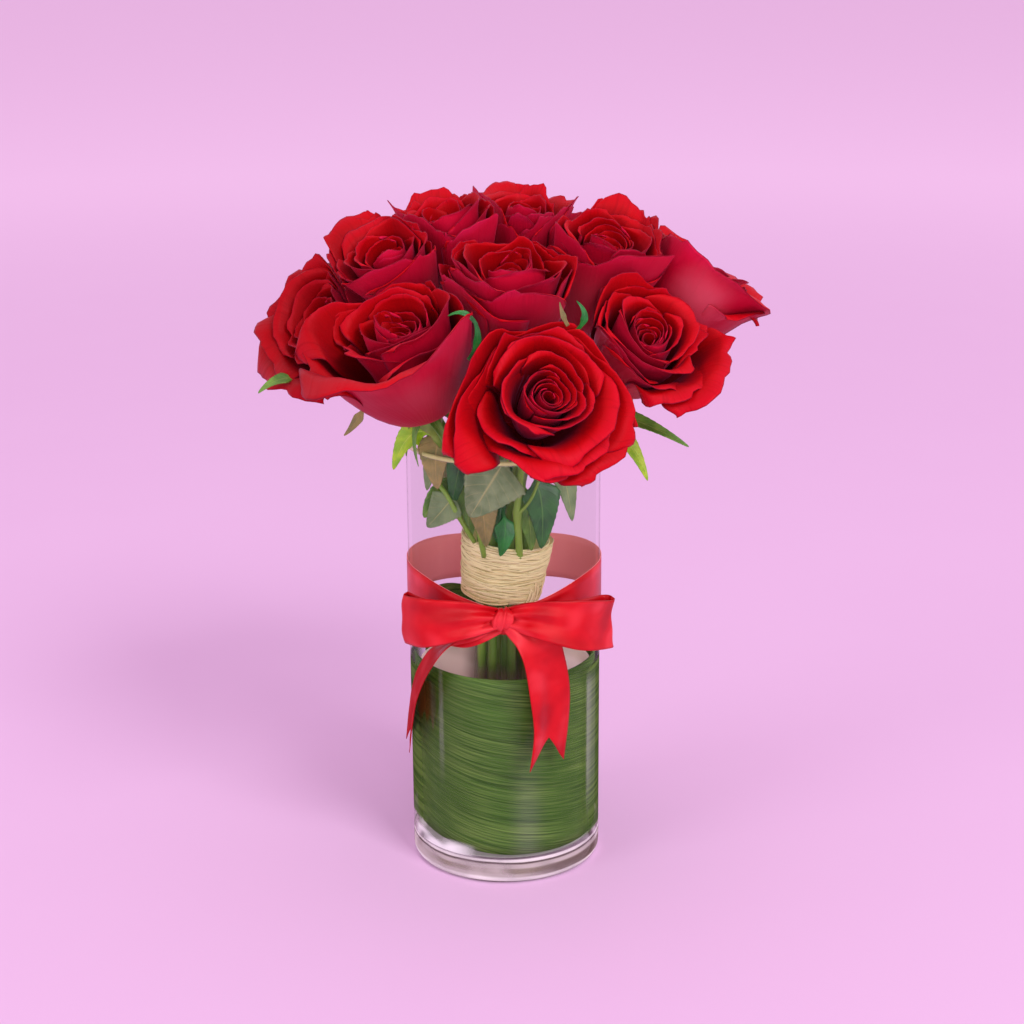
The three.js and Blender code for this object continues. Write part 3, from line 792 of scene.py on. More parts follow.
def loop_stations(side, tip, lift):
    x, y, z = KNOT
    return [
        ((x, y + 0.6, z), PINCH),
        ((x + side * 16, y - 4.5, z + 1), (side * 0.05, 0.1, 0.72)),
        ((x + side * 38, y - 3, z + lift), FLAT),
        (tip, FLAT),
        ((tip[0] + side * 0.6, tip[1] + 4, tip[2] + 0.3), FLAT),
        ((tip[0] - side * 3, tip[1] + 6.5, tip[2] + 0.2), FLAT),
        ((x + side * 36, y + 2.6, z + lift), (0, 0.1, 0.85)),
        ((x + side * 14, y + 1.6, z), (0, 0, 0.6)),
        ((x, y + 1.2, z), PINCH),
    ]


RIGHT_TAIL = [
    ((KNOT.x + 2, KNOT.y + 1, KNOT.z - 1), (0.35, 0.1, 0.15)),
    ((9, -57, 144.5), (0.55, 0.1, 0.35)),
    ((16, -57.5, 138), (0.8, 0.25, 0.2)),
    ((19.5, -57, 127), (0.8, 0.45, 0.05)),
    ((22, -56, 110), (0.8, 0.5, 0)),
    ((22.6, -55.5, 91), (0.72, 0.6, 0)),
    ((20.2, -55.5, 70), (0.72, 0.6, 0)),
]
LEFT_TAIL = [
    ((KNOT.x - 1, KNOT.y + 1, KNOT.z - 2), (-0.1, -0.1, 0.45)),
    ((-15, -56, 139), (0.25, -0.3, 0.45)),
    ((-31, -46.5, 131), (0.26, -0.75, 0.25)),
    ((-40, -39.5, 117), (0.24, -0.88, 0.2)),
    ((-45.5, -31.5, 101), (0.17, -0.92, 0.1)),
    ((-48.3, -24, 85), (0.12, -0.94, 0.1)),
    ((-50.5, -18, 65), (0.08, -0.95, 0.1)),
]
NOTCH = 0.12


def notched(point):
    """The end of a tail, cut to two points: the sheet stops sooner in the middle."""
    return lambda u, v: point(u, v * (1 - NOTCH * (1 - abs(u))))


def satin_back():
    """The dull side of the satin, which is turned to the glass and seen through it.

    Its colour is painted paler than the face's, and it glows a little: both are painted light.
    """
    dull = Finish("satin_back", Roughness=0.6, Specular_IOR_Level=0.2)
    _, along = dull.uv("sheet")
    tone = dull.grain(along * 30, 0.0, 0.0)
    # Painted light: a paler colour and a glow for the back of the band.
    dull.give(Base_Color=dull.mix(tone, (0.9, 0.26, 0.28), (0.97, 0.36, 0.38)))
    dull.glow(dull.mix(tone, (0.5, 0.08, 0.08), (0.56, 0.1, 0.1)), 0.26)
    return dull


def satin_face():
    """The side of the satin that shines."""
    satin = Finish("red_satin", Anisotropic=0.5, Specular_IOR_Level=0.35)
    satin.give(Specular_Tint=(1.0, 0.45, 0.45))
    u, _ = satin.uv("sheet")
    x, y, z = satin.place()
    cloud = satin.grain(x * 90, y * 90, z * 90)
    weave = (u * 260).wave() * 0.5 + 0.5
    edge = u.size().step(0.93, 0.97)
    # Painted shade: the lower part of the left tail is darker, and rougher so its highlight is
    # dimmed.
    shaded_left_tail = (x * -1).step(0.028, 0.036) * z.fade(0.122, 0.132)
    # Painted shade and highlights of soft folds: this noise darkens some places and lightens
    # others.
    fold = satin.grain(x * 34, y * 60, z * 60, 1.0)
    color = satin.paint(
        (0.5, 0.003, 0.008),
        (cloud.step(0.3, 0.75), (0.58, 0.006, 0.012)),
        (fold.fade(0.3, 0.52) * 0.6, (0.3, 0.001, 0.005)),
        (fold.step(0.54, 0.7) * 0.55, (0.78, 0.045, 0.06)),
        (edge * 0.5, (0.4, 0.001, 0.004)),
        (shaded_left_tail * 0.5, (0.3, 0.001, 0.004)),
    )
    satin.give(Base_Color=color, Roughness=0.27 + cloud * 0.08 + shaded_left_tail * 0.45)
    satin.bump(weave * 0.25 + edge * 0.6, 0.05)
    return satin


def make_ribbon():
    dull, satin = satin_back(), satin_face()
    mesh = bmesh.new()
    grid(mesh, 6, 160, band_point, material=2)
    grid(mesh, 16, 96, strip(loop_stations(-1, (-50.5, -47, 146), -1), 7, 0.6))
    grid(mesh, 16, 96, strip(loop_stations(1, (52.5, -43, 141.5), -2.5), 7, 2.2))
    grid(mesh, 16, 72, notched(strip(RIGHT_TAIL, 6, 1.0)))
    grid(mesh, 16, 72, notched(strip(LEFT_TAIL, 6, 0.2)))
    grid(mesh, 28, 40, knot_point)
    ribbon = make_piece("ribbon", mesh, [satin, satin, dull, satin])
    thicken(ribbon, RIBBON_THICKNESS, back=1)


make_ribbon()

# %% [markdown]
# ## The roses' layout
#
# Every rose has a heart, a way that it faces and a measure of how far it is open. From these
# follow the foot of the bloom and the frame in which its petals are drawn. In a bunch the
# blooms press on one another, so each has its own room, and petals that reach past a wall of
# that room are eased back. The further out they would go, the more they are pressed.

# %% Layout
# For a bloom of size 1: how far its heart and the middle of its room are above its foot, and how
# wide that room, its cell, is. Cells overlap a little, so the gap between them is below zero.
HEART_HEIGHT = 40
CELL_HEIGHT = 27
CELL_RADIUS = 38
CELL_GAP = -1.0
ROSES = [
    # name, heart, (azimuth, elevation), size, open, spin, tie (azimuth, distance), sepals
    ("front", (21, -88, 273.5), (12, 36), 1.05, 0.92, 210, (15, 12), 23),
    ("left_front", (-49, -60, 300), (-30, 64), 1.27, 0.45, 200, (-30, 12), 29),
    ("centre", (3, -34, 321), (4, 71), 1.24, 0.34, 75, (5, 3.9), 18),
    ("right_front", (73, -44, 292), (30, 44), 1.05, 0.62, 140, (61, 12), 29),
    ("left", (-90, -6, 294), (-46, 36), 1.02, 0.62, 10, (-105, 12), 15),
    ("upper_left", (-58, -8, 326), (-38, 60), 1.05, 0.5, 320, (-67, 12), 22),
    ("upper_right", (53, 5, 328.5), (26, 70), 1.22, 0.45, 260, (122, 3.9), 16),
    ("top_left", (-29, 12, 338), (-30, 72), 1.02, 0.45, 100, (-120, 3.9), 17),
    ("top", (10, 31, 339), (20, 78), 0.98, 0.38, 30, (180, 12), 29),
    ("right", (96, 20, 311), (88, 60), 1.12, 0.5, 215, (101, 12), 29),
    ("back_left", (-58, 66, 312), (-145, 52), 1.12, 0.75, 300, (-142, 12), 22),
    ("back_right", (54, 76, 312), (148, 50), 1.12, 0.75, 70, (142, 12), 17),
]


class Rose:
    """Where one rose stands and how it is turned."""

    def __init__(self, index, row):
        self.index = index
        self.name, heart, faces, self.size, self.open, spin, tie, self.sepals = row
        azimuth, elevation = (radians(a) for a in faces)
        level = Vector((sin(azimuth), -cos(azimuth), 0))
        self.axis = level * cos(elevation) + Vector((0, 0, sin(elevation)))
        self.foot = Vector(heart) - self.axis * HEART_HEIGHT * self.size
        turn = UP.rotation_difference(self.axis).to_matrix().to_4x4()
        spin = Matrix.Rotation(radians(spin), 4, "Z")
        self.frame = Matrix.Translation(self.foot) @ turn @ spin
        self.middle = self.foot + self.axis * CELL_HEIGHT * self.size
        self.reach = CELL_RADIUS * self.size * (0.75 + 0.3 * self.open)
        self.tie = (radians(tie[0]), tie[1])
        self.walls = []

    def find_walls(self, roses):
        for other in roses:
            if other is not self:
                to_other = other.middle - self.middle
                share = self.reach / (self.reach + other.reach)
                room = to_other.length * share - CELL_GAP / 2
                self.walls.append((to_other.normalized(), room))

    def crowd(self, point, inset):
        """Eases a point back from the walls of the bloom's room."""
        for _ in range(3):
            for normal, room in self.walls:
                reach = (point - self.middle).dot(normal)
                free = 0.5 * room
                if reach > free:
                    soft = max(room - inset - free, 0.12 * room)
                    eased = free + soft * tanh((reach - free) / soft)
                    point = point + normal * (eased - reach)
        return point


ROSE_LIST = [Rose(index, row) for index, row in enumerate(ROSES)]
for rose in ROSE_LIST:
    rose.find_walls(ROSE_LIST)
print("roses:", [rose.name for rose in ROSE_LIST])

# %% [markdown]
# ## The petals
#
# A petal is a cup that stands on the foot of the bloom, widens, and rolls outwards along its
# rim. Petals stand in whorls. In each whorl some edges lie over their neighbours' and some
# under, which keeps them from cutting through one another. The petals of the heart are rolled
# round in a spiral, and the outer whorls open wide. Slow noise bends all layers together, so no
# two blooms look turned on a lathe.

# %% Petal measures
# The share of a petal's length that is the cup; the rest is the rolled rim.
CUP_SHARE = 0.74
SPIRAL = (-1, 1)
OVER, UNDER = (1, 1), (-1, -1)
WHORLS = [
    # how far out, reach in degrees, edges of each petal
    (0.03, 205, [SPIRAL]),
    (0.12, 128, [SPIRAL, SPIRAL]),
    (0.22, 90, [SPIRAL, SPIRAL, SPIRAL]),
    (0.33, 84, [SPIRAL, SPIRAL, SPIRAL]),
    (0.46, 80, [OVER, SPIRAL, UNDER]),
    (0.63, 80, [OVER, SPIRAL, UNDER]),
    (0.83, 52, [OVER, UNDER, OVER, UNDER, (1, -1)]),
    (1.00, 54, [OVER, UNDER, OVER, UNDER, (1, -1)]),
]
# A wide open bloom shows one more whorl between its heart and its outer petals.
WIDE_OPEN = 0.8
WIDE_WHORLS = [(0.55, 76, [UNDER, OVER, SPIRAL])]

# Lone petals outside the cup: turn about the bloom's axis in degrees, how far it leans out from
# 0 to 1, how many millimetres it may press into its neighbours' room, its reach in degrees, and
# how much taller it is.
LONE = {
    "front": [(308, 0.5, 7, 66, 1), (240, 0.2, 6, 60, -4)],
    "left_front": [(82, 0.12, 3, 84, 4)],
    "centre": [(150, 0.62, 7, 62, 0), (112, 0.9, 6, 66, 3)],
    "upper_right": [(70, 0.6, 5, 62, 0), (18, 0.2, 5, 80, 5)],
    "right": [(42, 0.2, 4, 84, 6)],
}
# Petals of the outermost whorl that are left out, because a lone petal stands in their place.
HIDDEN = {"left_front": (3, 4)}
# Petals of the outermost whorl that have let go of the cup and lean far out, which fills the
# gaps between the blooms.
FALLEN = {"centre": (4,), "upper_left": (2,), "top_left": (0,), "right": (4,), "upper_right": (2,)}


class Petal:
    """The measures of petal k in a whorl that is t of the way out, in millimetres."""

    def __init__(self, rose, whorl, k):
        t, reach, edges = whorl
        size, spread = rose.size, rose.open
        seed = rose.index * 1.7 + 10 * t
        # four draws from -0.5 to 0.5, so that no two petals are the same
        a, b, c, d = (draw(k + 1, seed + n) - 0.5 for n in (0, 3, 5, 8))
        opening = smoothstep(t, 0.12, 1) ** 1.15 * (0.3 + 0.7 * spread)
        if t == 1 and k in FALLEN.get(rose.name, ()):
            opening = max(opening, 0.86)
        cup = 2 + 19.5 * t**0.9 * (0.92 + 0.1 * spread)
        over = sum(edges[k]) / 2
        tall = 35 + 10.5 * smoothstep(t, 0, 0.55) - 4 * t - 9.5 * opening**2
        self.rose = rose
        self.out = t
        self.edges = edges[k]
        self.turn = radians(360 * k / len(edges) + 200 * t + 10 * c)
        self.cup = (cup + 0.9 * over) * size
        self.lip = (cup + 0.6 + 15.5 * opening**1.5 + 2.2 * over + (0.8 + 2 * t) * b) * size
        self.height = (tall + 5.5 * a * (0.3 + t)) * size
        self.shoulder = (1 + 5 * t) * size
        self.root = (1.2 + 3.6 * t + 0.7 * over) * size
        self.sink = (0.6 * t + 0.7 * over) * size
        self.span = radians(reach + 6 * d)
        roll = 10.5 * smoothstep(t, 0.2, 0.9) * (0.5 + 0.5 * spread)
        self.rim = (0.8 + roll * (0.7 + 0.6 * draw(k, seed))) * size
        self.curl = (1.6 + 3.4 * t + 3.5 * spread * t * t) * size
        self.tip = (0.4 + 2.6 * t * t * draw(k, seed + 9)) * size
        self.wave = (0.2 + 1.4 * t * t) * size
        self.phase = FULL_TURN * draw(k, seed + 6)
        self.overlap = (0.8 + 1.4 * t) * size
        self.lean = 0.03 * over + 0.015 * d
        self.inset = (9 * (1 - t) + 0.9 * (1 - over)) * size


# %% Petal surface
def rolled_rim(u, share, profile, petal):
    """How far the rim goes out and up past the petal's crest, as an arc that turns outwards."""
    side = abs(u)
    edge = petal.edges[0 if u < 0 else 1]
    (r1, z1), (r2, z2) = profile[2:]
    start = atan2(z2 - z1, r2 - r1)
    corner = 0.55 * side**1.6 if edge > 0 else -0.35 * side
    point = petal.tip * exp(-((u / 0.13) ** 2))
    crimp = noise.noise(Vector((2.3 * u, 7.1 * petal.phase, petal.out)))
    length = petal.rim * (0.6 + corner) * (1 - 0.35 * side**6) * (1 + 0.5 * crimp) + point
    peak = 0.8 * exp(-((u / 0.16) ** 2)) + 0.5 * crimp
    bend = 1 / (petal.curl * (1.25 - 0.55 * side**1.5 + peak))
    end = start - bend * length * share
    return (sin(start) - sin(end)) / bend, (cos(end) - cos(start)) / bend


def petal_point(petal, u, v):
    """A point of the petal's middle surface, in the rose's own frame."""
    side = abs(u)
    edge = petal.edges[0 if u < 0 else 1]
    height = petal.height - petal.shoulder * side**2.4
    profile = [
        (petal.root, -petal.sink),
        (petal.cup * 0.98, height * 0.02 - petal.sink),
        (petal.cup * 1.1, height * 0.8),
        (petal.lip, height),
    ]
    weights = bezier_weights(min(v / CUP_SHARE, 1))
    r, z = (sum(w * handle[k] for w, handle in zip(weights, profile)) for k in (0, 1))
    if v > CUP_SHARE:
        out, up = rolled_rim(u, (v - CUP_SHARE) / (1 - CUP_SHARE), profile, petal)
        r, z = r + out, z + up
    wavy = petal.wave * smoothstep(v, 0.45, 1)
    crinkle = sin(11 * u + 5 * petal.phase) + 0.6 * sin(23 * u + 3 * petal.phase)
    ruffle = 0.42 * petal.wave * smoothstep(v, 0.8, 1) * crinkle
    r += 0.25 * wavy * sin(3.1 * u + petal.phase) + ruffle
    z += 1.2 * wavy * sin(4.3 * u + 2.3 * petal.phase) + ruffle
    r += petal.overlap * edge * side * smoothstep(v, 0.05, 0.5) + petal.lean * max(z, 0)
    r = max(r, 0.15)
    fan = 0.34 + 0.66 * smoothstep(v, 0, 0.62)
    angle = petal.turn + petal.span * fan * (1 - 0.2 * smoothstep(v, 0.72, 1) * side**2) * u
    return Vector((r * cos(angle), r * sin(angle), z))


# Two noises that bend a petal: how long their waves are and how far they move it, in millimetres.
SLOW, SWAY = 26.0, 4.6
QUICK, SHAKE = 11.0, 1.3


def petal_place(petal):
    """The petal's surface in the bunch: bent with its layer, then pressed by its neighbours."""
    rose = petal.rose
    shift = Vector((31.7 * rose.index, 0, 0))

    def place(u, v):
        point = petal_point(petal, u, v**0.85)
        bend = noise.noise_vector(point / SLOW + shift) * SWAY
        bend += noise.noise_vector(point / QUICK + shift) * SHAKE * petal.out
        bend *= smoothstep(v, 0.15, 0.8)
        return rose.crowd(rose.frame @ (point + bend * rose.size), petal.inset)

    return place


# %% [markdown]
# ## The petals' finish
#
# A red rose petal is scarlet and velvety inside and more crimson, almost magenta, outside. Both
# sides are painted darker towards the foot, as shade deep in the cup, and lighter and more
# magenta towards the rim, partly the petal's own colour and partly painted light on the rolled
# rims. Fine veins fan out lengthwise, the cut edge is dark and purple, and the surface has a soft
# sheen where it turns away. The blooms at the left are painted darker, as shade, and a few pale
# patches are painted highlights. The inside and the outside are two materials of one piece,
# given to the two faces of the Solidify modifier.

# %% Petal finishes
# Painted highlights, pale patches where the light falls on the petals: x, height and radius of
# the place in metres, and how much.
PAINTED_HIGHLIGHTS = [(0.098, 0.302, 0.022, 0.4), (-0.038, 0.27, 0.018, 0.16), (0.04, 0.303, 0.022, 0.14)]


def petal_finish(name, shade_at_foot, full, glow, pale, sheen):
    finish = Finish(name, Sheen_Weight=sheen, Sheen_Roughness=0.4, Specular_IOR_Level=0.22)
    finish.give(Sheen_Tint=(0.85, 0.14, 0.36), Specular_Tint=(1.0, 0.3, 0.42))
    u, v = finish.uv("sheet")
    out, luck = finish.uv("tag")
    x, y, z = finish.place()
    cloud = finish.grain(x * 70, y * 70, z * 70, 3.0)
    vein = finish.grain(u * (8 + out * 16), v * 1.3, luck * 50, 3.0)
    edge = (u.size().step(0.965, 1.0) + v.step(0.982, 1.0)).at_most(1.0)
    color = finish.paint(
        shade_at_foot,
        # Painted shade towards the foot, then painted light towards the rim, partly the petal's own
        # colour.
        ((v + (cloud - 0.5) * 0.35).step(0.3, 0.88), full),
        (v.step(0.72, 0.95) * (0.2 + luck * 0.5), glow),
        (vein.step(0.5, 0.75) * 0.3, shade_at_foot),
        (edge * 0.6, (0.09, 0.004, 0.022)),
        # Painted shade: the blooms at the left are darker.
        ((x * -1).step(0.055, 0.105) * 0.45, shade_at_foot),
    )
    # Painted highlights: pale patches where the light falls on the petals.
    for right, height, wide, share in PAINTED_HIGHLIGHTS:
        away = ((x - right) ** 2 + (z - height) ** 2) ** 0.5 + (cloud - 0.5) * 0.012
        color = finish.mix(away.fade(0.0, wide) * share, color, pale)
    finish.give(Base_Color=color, Roughness=0.42 + vein * 0.2)
    finish.bump(vein + cloud * 0.8, 0.16)
    return finish


PETAL_SIDES = [
    # name, colour at the foot with its painted shade, of the face, towards the rim (partly painted
    # light), of the painted highlights, sheen
    ("petal_back", (0.32, 0.001, 0.016), (0.57, 0.004, 0.034), (0.62, 0.012, 0.08),
     (0.78, 0.13, 0.19), 0.12),
    ("petal_inside", (0.16, 0.0, 0.001), (0.47, 0.001, 0.003), (0.53, 0.002, 0.014),
     (0.6, 0.01, 0.02), 0.06),
]
PETAL_BACK, PETAL_INSIDE = (petal_finish(*side) for side in PETAL_SIDES)
print("petals:", PETAL_BACK.material.name, "and", PETAL_INSIDE.material.name)

# %% Blooms
PETAL_THICKNESS = 0.45
HEART = 0.3  # the petals up to this far out are tightly rolled and need more corners
LONE_CUP, LONE_LIP = 2.4, 3  # how far a lone petal stands outside the others, in millimetres


def make_bloom(rose):
    mesh = bmesh.new()
    for whorl in WHORLS + (WIDE_WHORLS if rose.open > WIDE_OPEN else []):
        out, _, edges = whorl
        across = 20 if out > HEART else 28
        for k in range(len(edges)):
            if out == 1 and k in HIDDEN.get(rose.name, ()):
                continue
            luck = draw(k + 3, rose.index + 7 * out)
            grid(mesh, across, 20, petal_place(Petal(rose, whorl, k)), tag=(out, luck))
    for turn, lean, press, reach, taller in LONE.get(rose.name, ()):
        petal = Petal(rose, (1.0, reach, [OVER]), 0)
        petal.turn = radians(turn)
        petal.cup += LONE_CUP * rose.size
        petal.lip += (8 * lean + LONE_LIP) * rose.size
        petal.height += (taller - 6 * lean) * rose.size
        petal.inset = -press
        grid(mesh, 20, 20, petal_place(petal), tag=(1.0, lean))
    bloom = make_piece(f"bloom_{rose.name}", mesh, [PETAL_BACK, PETAL_INSIDE])
    solid = thicken(bloom, PETAL_THICKNESS, back=1)
    solid.material_offset_rim = 1


for rose in ROSE_LIST:
    make_bloom(rose)

# %% [markdown]
# ## Stems, hips and sepals
#
# A rose stem is a round stalk with a joint every few centimetres where a leaf grew. It runs
# straight through the water and the binding, then bends out and turns into the bloom's axis.
# Under the bloom it swells into the hip, and five pointed sepals are bent back from its rim.

# %% Stem line
STEM_RADIUS = 2.4
STEM_SPREAD, STEM_GATHER = 1.15, 1.02
JOINT_EVERY = 58
SEPALS = 5
HIP_LENGTH = 12
HIP_OUTLINE = [(2.4, 12), (3.6, 10), (4.9, 8), (5.4, 6), (5.3, 4.4), (4.7, 3.2)]


class StemLine:
    """The straight part of a stem, then its bend."""

    def __init__(self, rose):
        azimuth, distance = rose.tie
        self.low = line_point(azimuth, distance * STEM_SPREAD, FLOOR + 0.6)
        self.high = line_point(azimuth, distance * STEM_GATHER, BINDING_HIGH + 4)
        neck = rose.foot - rose.axis * HIP_LENGTH * rose.size
        span = (neck - self.high).length
        upward = (self.high - self.low).normalized()
        leave = self.high + upward * span * 0.37
        arrive = neck - rose.axis * span * 0.13
        self.handles = [self.high, leave, arrive, neck]

    def straight(self, t):
        return self.low.lerp(self.high, t)

    def bend(self, t):
        weights = bezier_weights(t)
        return sum((w * handle for w, handle in zip(weights, self.handles)), Vector())


def stem_stations(rose):
    line = StemLine(rose)
    places = [line.straight(k / 24) for k in range(24)] + [line.bend(k / 20) for k in range(20)]
    stations = []
    for k, place in enumerate(places):
        ahead = (places[k + 1] if k + 1 < len(places) else line.bend(1)) - place
        height = place.z + 60 * draw(rose.index, 4)
        joint = exp(-(((height % JOINT_EVERY) - JOINT_EVERY / 2) / 2.6) ** 2)
        thick = 0.93 + 0.12 * draw(k, rose.index) + 0.35 * joint
        stations.append((place, ahead.normalized(), STEM_RADIUS * thick * 0.97))
    for radius, below in HIP_OUTLINE:
        place = rose.foot - rose.axis * below * rose.size
        stations.append((place, rose.axis, radius * rose.size))
    return stations


def sepal_place(rose, k):
    turn = Matrix.Rotation(radians(360 / SEPALS * k + 20), 4, "Z")
    droop = 0.75 + 0.5 * draw(rose.index, k + 2)
    length = (0.85 + 0.3 * draw(rose.index, k)) * rose.sepals
    curl = 1.5 * (draw(k, rose.index + 5) - 0.5)

    def place(u, v):
        lobe = 1 + 0.35 * max(0.0, sin(9 * v + k)) * smoothstep(v, 0.2, 0.5)
        width = 2.9 * (1 - v) ** 0.75 * lobe + 0.3
        out = 3.2 + length * (0.66 * v - 0.22 * v * v)
        down = -4.6 - length * droop * (0.2 * v + 0.5 * v**2)
        sway = 2.4 * sin(3 * v + k) * v + curl * length * 0.25 * v**3
        twist = 1.3 * curl * v * v
        cup = 0.9 * u * u * (1 - v) + 0.5 * u * u
        point = (out, width * u * cos(twist) + sway, down + cup + width * u * sin(twist))
        return rose.frame @ (turn @ Vector(point))

    return place


# %% [markdown]
# ## Leaves
#
# Some leaves hang over the binding with their undersides out, which are matt and grey-green.
# Upper sides are darker and shine. A leaf is a sheet like a petal, with saw teeth along both
# edges, a fold along the midrib, and veins that run from the midrib forward to the edge. The
# teeth are in the mesh, and the veins are relief and colour.

# %% Leaf shapes
LEAVES = [
    # rose, start (a share of the stem's bend, or a place of its own), bow, tip, width, the way
    # that the leaf faces, and its tone
    ("left_front", (5, -34, 232), (-5, -46, 219), (-17, -38, 197), 37, (0.1, -1, 0.3), "underside"),
    ("left_front", 0.12, (-6, -25, 212), (-4, -24, 181), 12, (0, -1, 0.1), "upper"),
    ("left_front", 0.8, (-46, -30, 250), (-55, -31, 220), 15, (-0.5, -1, 0.4), "young"),
    ("upper_left", 0.4, (-33, -12, 240), (-39, -17, 205), 19, (-0.6, -1, 0.2), "underside"),
    ("upper_left", 0.04, (-27, -9, 213), (-41, -12, 189), 23, (-0.3, -1, 0.2), "fresh"),
    ("front", 0.1, (15, -20, 210), (22, -21, 184), 15, (0.2, -1, 0.1), "upper"),
    ("right_front", 0.35, (30, -14, 228), (35, -17, 188), 18, (0.3, -1, 0.2), "underside"),
    ("right_front", 0.75, (66, -20, 245), (93, -25, 229), 9, (0.2, -0.8, 1), "fresh"),
    ("right_front", 0.62, (60, -15, 246), (73, -20, 210), 12, (0.3, -1, 0.3), "young"),
    ("back_left", 0.3, (-24, 30, 234), (-32, 27, 196), 24, (-0.5, 1, 0.2), "underside"),
    ("back_right", 0.3, (28, 33, 230), (36, 22, 200), 24, (0.5, 1, 0.2), "fresh"),
    ("top", 0.12, (2, 30, 222), (4, 34, 188), 22, (0, 1, 0.2), "upper"),
    # leaflets that fill the neck of the bunch, each from a place of its own
    ("upper_left", (-28, -24, 241), (-36, -31, 234), (-33, -32, 210), 21, (-0.4, -1, 0.2), "dry"),
    ("left_front", (-22, -20, 207), (-28, -26, 200), (-39, -22, 187), 20, (-0.3, -1, 0.2),
     "underside"),
    ("left_front", (-16, -22, 236), (-22, -25, 226), (-26, -23, 198), 16, (-0.2, -1, 0.2), "upper"),
    ("left_front", (-12, -23, 207), (-10, -26, 195), (-9, -24, 177), 15, (0.1, -1, 0.2), "dry"),
    ("centre", (-1, -22, 197), (3, -28, 187), (-2, -25, 172), 12, (0.3, -1, 0.2), "emerald"),
    ("right_front", (13, -19, 217), (22, -24, 206), (19, -22, 175), 21, (0.2, -1, 0.2), "upper"),
    ("right_front", (9, -17, 212), (13, -22, 200), (14, -21, 174), 15, (0, -1, 0.2), "fresh"),
    ("upper_left", (-18, -12, 222), (-20, -16, 205), (-17, -19, 180), 18, (-0.1, -1, 0.2), "fresh"),
    ("centre", (-6, -16, 222), (-6, -20, 205), (-3, -22, 178), 16, (0, -1, 0.2), "emerald"),
    # long sepals that show between and beside the blooms
    ("left", (-99, -18, 263), (-110, -26, 269), (-121, -27, 259), 7, (0, -0.6, 1), "fresh"),
    ("left_front", (-77, -44, 261), (-66, -50, 263), (-62, -52, 252), 7, (0, -1, 0.4), "fresh"),
    ("left_front", (-66, -49, 259), (-70, -53, 250), (-77, -55, 244), 4, (0, -1, 0.3), "dry"),
    ("left_front", (-16, -74, 285), (-8, -79, 297), (-14, -80, 307), 2.6, (0.2, -1, 0), "emerald"),
    ("left_front", (-12, -79, 303), (-17, -80, 312), (-25, -78, 307), 1.4, (0, -1, 0.3), "emerald"),
    ("centre", (34, -61, 295), (43, -69, 304), (35, -65, 311), 2.4, (0, -1, 0.2), "emerald"),
    ("centre", (31, -63, 299), (28, -67, 305), (27, -68, 311), 1.5, (0, -1, 0.2), "dry"),
]
TEETH = 15
BLADE_THICKNESS = 0.4


def leaf_place(start, bow, tip, width, faces):
    """The surface of a leaf that starts, bows and ends at these places."""
    start, bow, tip = (Vector(point) for point in (start, bow, tip))
    upward = Vector(faces).normalized()

    def place(u, v):
        middle = start * (1 - v) ** 2 + bow * 2 * v * (1 - v) + tip * v * v
        ahead = (bow - start) * (1 - v) + (tip - bow) * v
        across = ahead.cross(upward).normalized()
        outline = smoothstep(v, 0.2, 0.45) * (1 - v) ** 0.65 * 1.25
        saw = (v * TEETH) % 1
        tooth = 1 + 0.09 * saw * smoothstep(abs(u), 0.6, 1) * smoothstep(v, 0.25, 0.35)
        half = width / 2 * outline * tooth + 0.7 * (1 - smoothstep(v, 0.2, 0.9)) + 0.15
        fold = 0.13 * width * abs(u) ** 1.3 * outline
        ripple = 0.035 * width * sin(7 * v + 3 * u) * abs(u) * outline
        return middle + across * (half * u) + upward * (fold + ripple)

    return place


# %% Leaf and stem finishes
def leaf_finish(name, dark, light, vein_color, rough):
    finish = Finish(name, Subsurface_Weight=0.05, Subsurface_Scale=0.001)
    u, v = finish.uv("sheet")
    x, y, z = finish.place()
    side = u.size()
    cloud = finish.grain(x * 160, y * 160, z * 160, 3.0)
    crossing = ((v * 9 - side * 1.6) * pi).wave().size()
    vein = crossing.fade(0.0, 0.16) * side.step(0.0, 0.1)
    mark = (vein * 0.6 + side.fade(0.0, 0.07)).at_most(1.0)
    color = finish.mix(cloud.step(0.3, 0.7), dark, light)
    color = finish.mix(mark * 0.8, color, vein_color)
    finish.give(Base_Color=color, Roughness=rough + cloud * 0.15)
    finish.bump(mark * 0.6 + cloud * 0.5, 0.25)
    return finish


def stem_finish():
    finish = Finish("stem", Coat_Weight=0.15, Coat_Roughness=0.3)
    x, y, z = finish.place()
    cloud = finish.grain(x * 120, y * 120, z * 22, 3.0)
    streak = finish.grain(x * 420, y * 420, z * 30, 2.0)
    blush = finish.grain(x * 30, y * 30, z * 30 + 5.0, 2.0).step(0.56, 0.72)
    color = finish.paint(
        (0.075, 0.19, 0.015),
        (cloud.step(0.3, 0.7), (0.2, 0.36, 0.04)),
        (streak.step(0.55, 0.8) * 0.4, (0.34, 0.46, 0.1)),
        (blush * 0.45, (0.2, 0.1, 0.03)),
    )
    finish.give(Base_Color=color, Roughness=0.38 + streak * 0.2)
    finish.bump(streak + cloud, 0.15)
    return finish


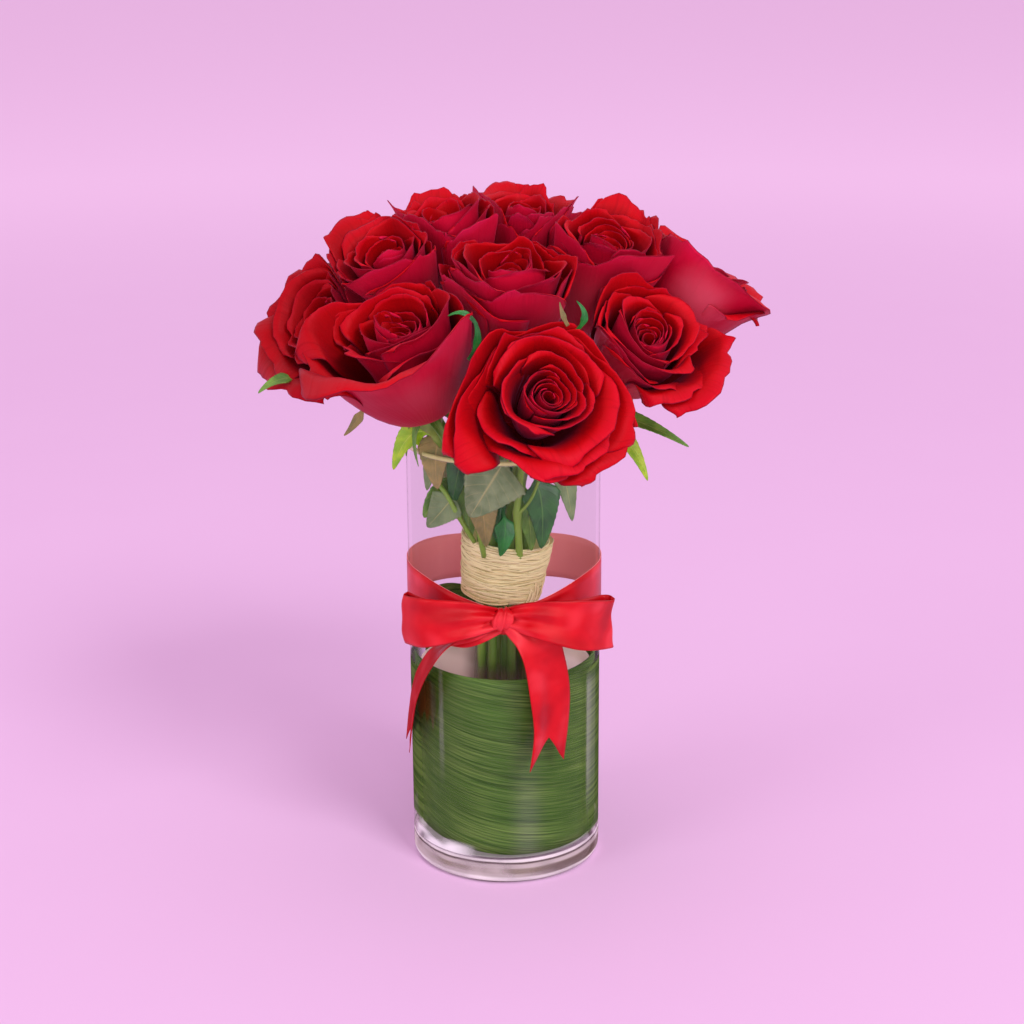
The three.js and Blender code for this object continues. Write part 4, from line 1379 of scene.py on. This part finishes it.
STEM = stem_finish()
GREEN_ROWS = [
    # name, dark and light colour, colour of the veins, roughness
    ("leaf_upper", (0.01, 0.085, 0.018), (0.03, 0.17, 0.03), (0.12, 0.3, 0.06), 0.28),
    ("leaf_underside", (0.13, 0.22, 0.085), (0.23, 0.33, 0.15), (0.42, 0.45, 0.18), 0.55),
    ("leaf_fresh", (0.07, 0.21, 0.02), (0.16, 0.36, 0.04), (0.36, 0.5, 0.12), 0.42),
    ("leaf_emerald", (0.005, 0.13, 0.02), (0.02, 0.28, 0.04), (0.1, 0.42, 0.08), 0.3),
    ("leaf_dry", (0.2, 0.2, 0.07), (0.34, 0.28, 0.09), (0.46, 0.36, 0.12), 0.6),
    ("shoot", (0.08, 0.22, 0.015), (0.17, 0.38, 0.03), (0.22, 0.4, 0.05), 0.4),
    ("leaf_young", (0.2, 0.46, 0.01), (0.42, 0.66, 0.02), (0.55, 0.75, 0.1), 0.38),
]
GREENS = {row[0].removeprefix("leaf_"): leaf_finish(*row) for row in GREEN_ROWS}
print("greens:", list(GREENS))


# %% Stems
# Side shoots of two roses: how thick each is, and the places that it runs through. A shoot
# swells to a joint where it passes this height.
JOINT_HEIGHT = 195
SHOOTS = {
    "front": [
        (1.9, [(8, -20, 168), (7.4, -25, 182), (6.8, -26.5, 196), (8, -30, 212), (10, -38, 228)]),
        (0.8, [(7.2, -27.5, 195.5), (11, -29, 199.5), (14.5, -29.5, 205), (17.5, -30, 213)]),
    ],
    "left_front": [
        (1.2, [(-33, -24, 211), (-28, -26, 204), (-22, -25, 192), (-15, -20, 178)]),
        (1.5, [(-22, -20, 228), (-19, -24, 210), (-14, -24, 192), (-10, -20, 170)]),
    ],
}


def make_stem(rose):
    mesh = bmesh.new()
    tones = list(GREENS)
    line = StemLine(rose)
    for k in range(SEPALS):
        grid(mesh, 6, 16, sepal_place(rose, k), material=1 + tones.index("fresh"))
    for name, start, bow, tip, width, faces, tone in LEAVES:
        if name == rose.name:
            start = start if isinstance(start, tuple) else line.bend(start)
            place = leaf_place(start, bow, tip, width, faces)
            grid(mesh, 16, 4 * TEETH, place, material=1 + tones.index(tone))
    bmesh.ops.solidify(mesh, geom=list(mesh.faces), thickness=BLADE_THICKNESS * MM)
    for thick, places in SHOOTS.get(rose.name, ()):
        steps = [spline([Vector(place) for place in places], k / 20) for k in range(21)]
        ahead = (steps[-1] - steps[0]).normalized()
        swell = [1 + 0.45 * exp(-(((step.z - JOINT_HEIGHT) / 2) ** 2)) for step in steps]
        shoot = [(step, ahead, thick * more) for step, more in zip(steps, swell)]
        tube(mesh, shoot, 10, material=1 + tones.index("shoot"))
    tube(mesh, stem_stations(rose), 12)
    make_piece(f"stem_{rose.name}", mesh, [STEM, *GREENS.values()])


for rose in ROSE_LIST:
    make_stem(rose)
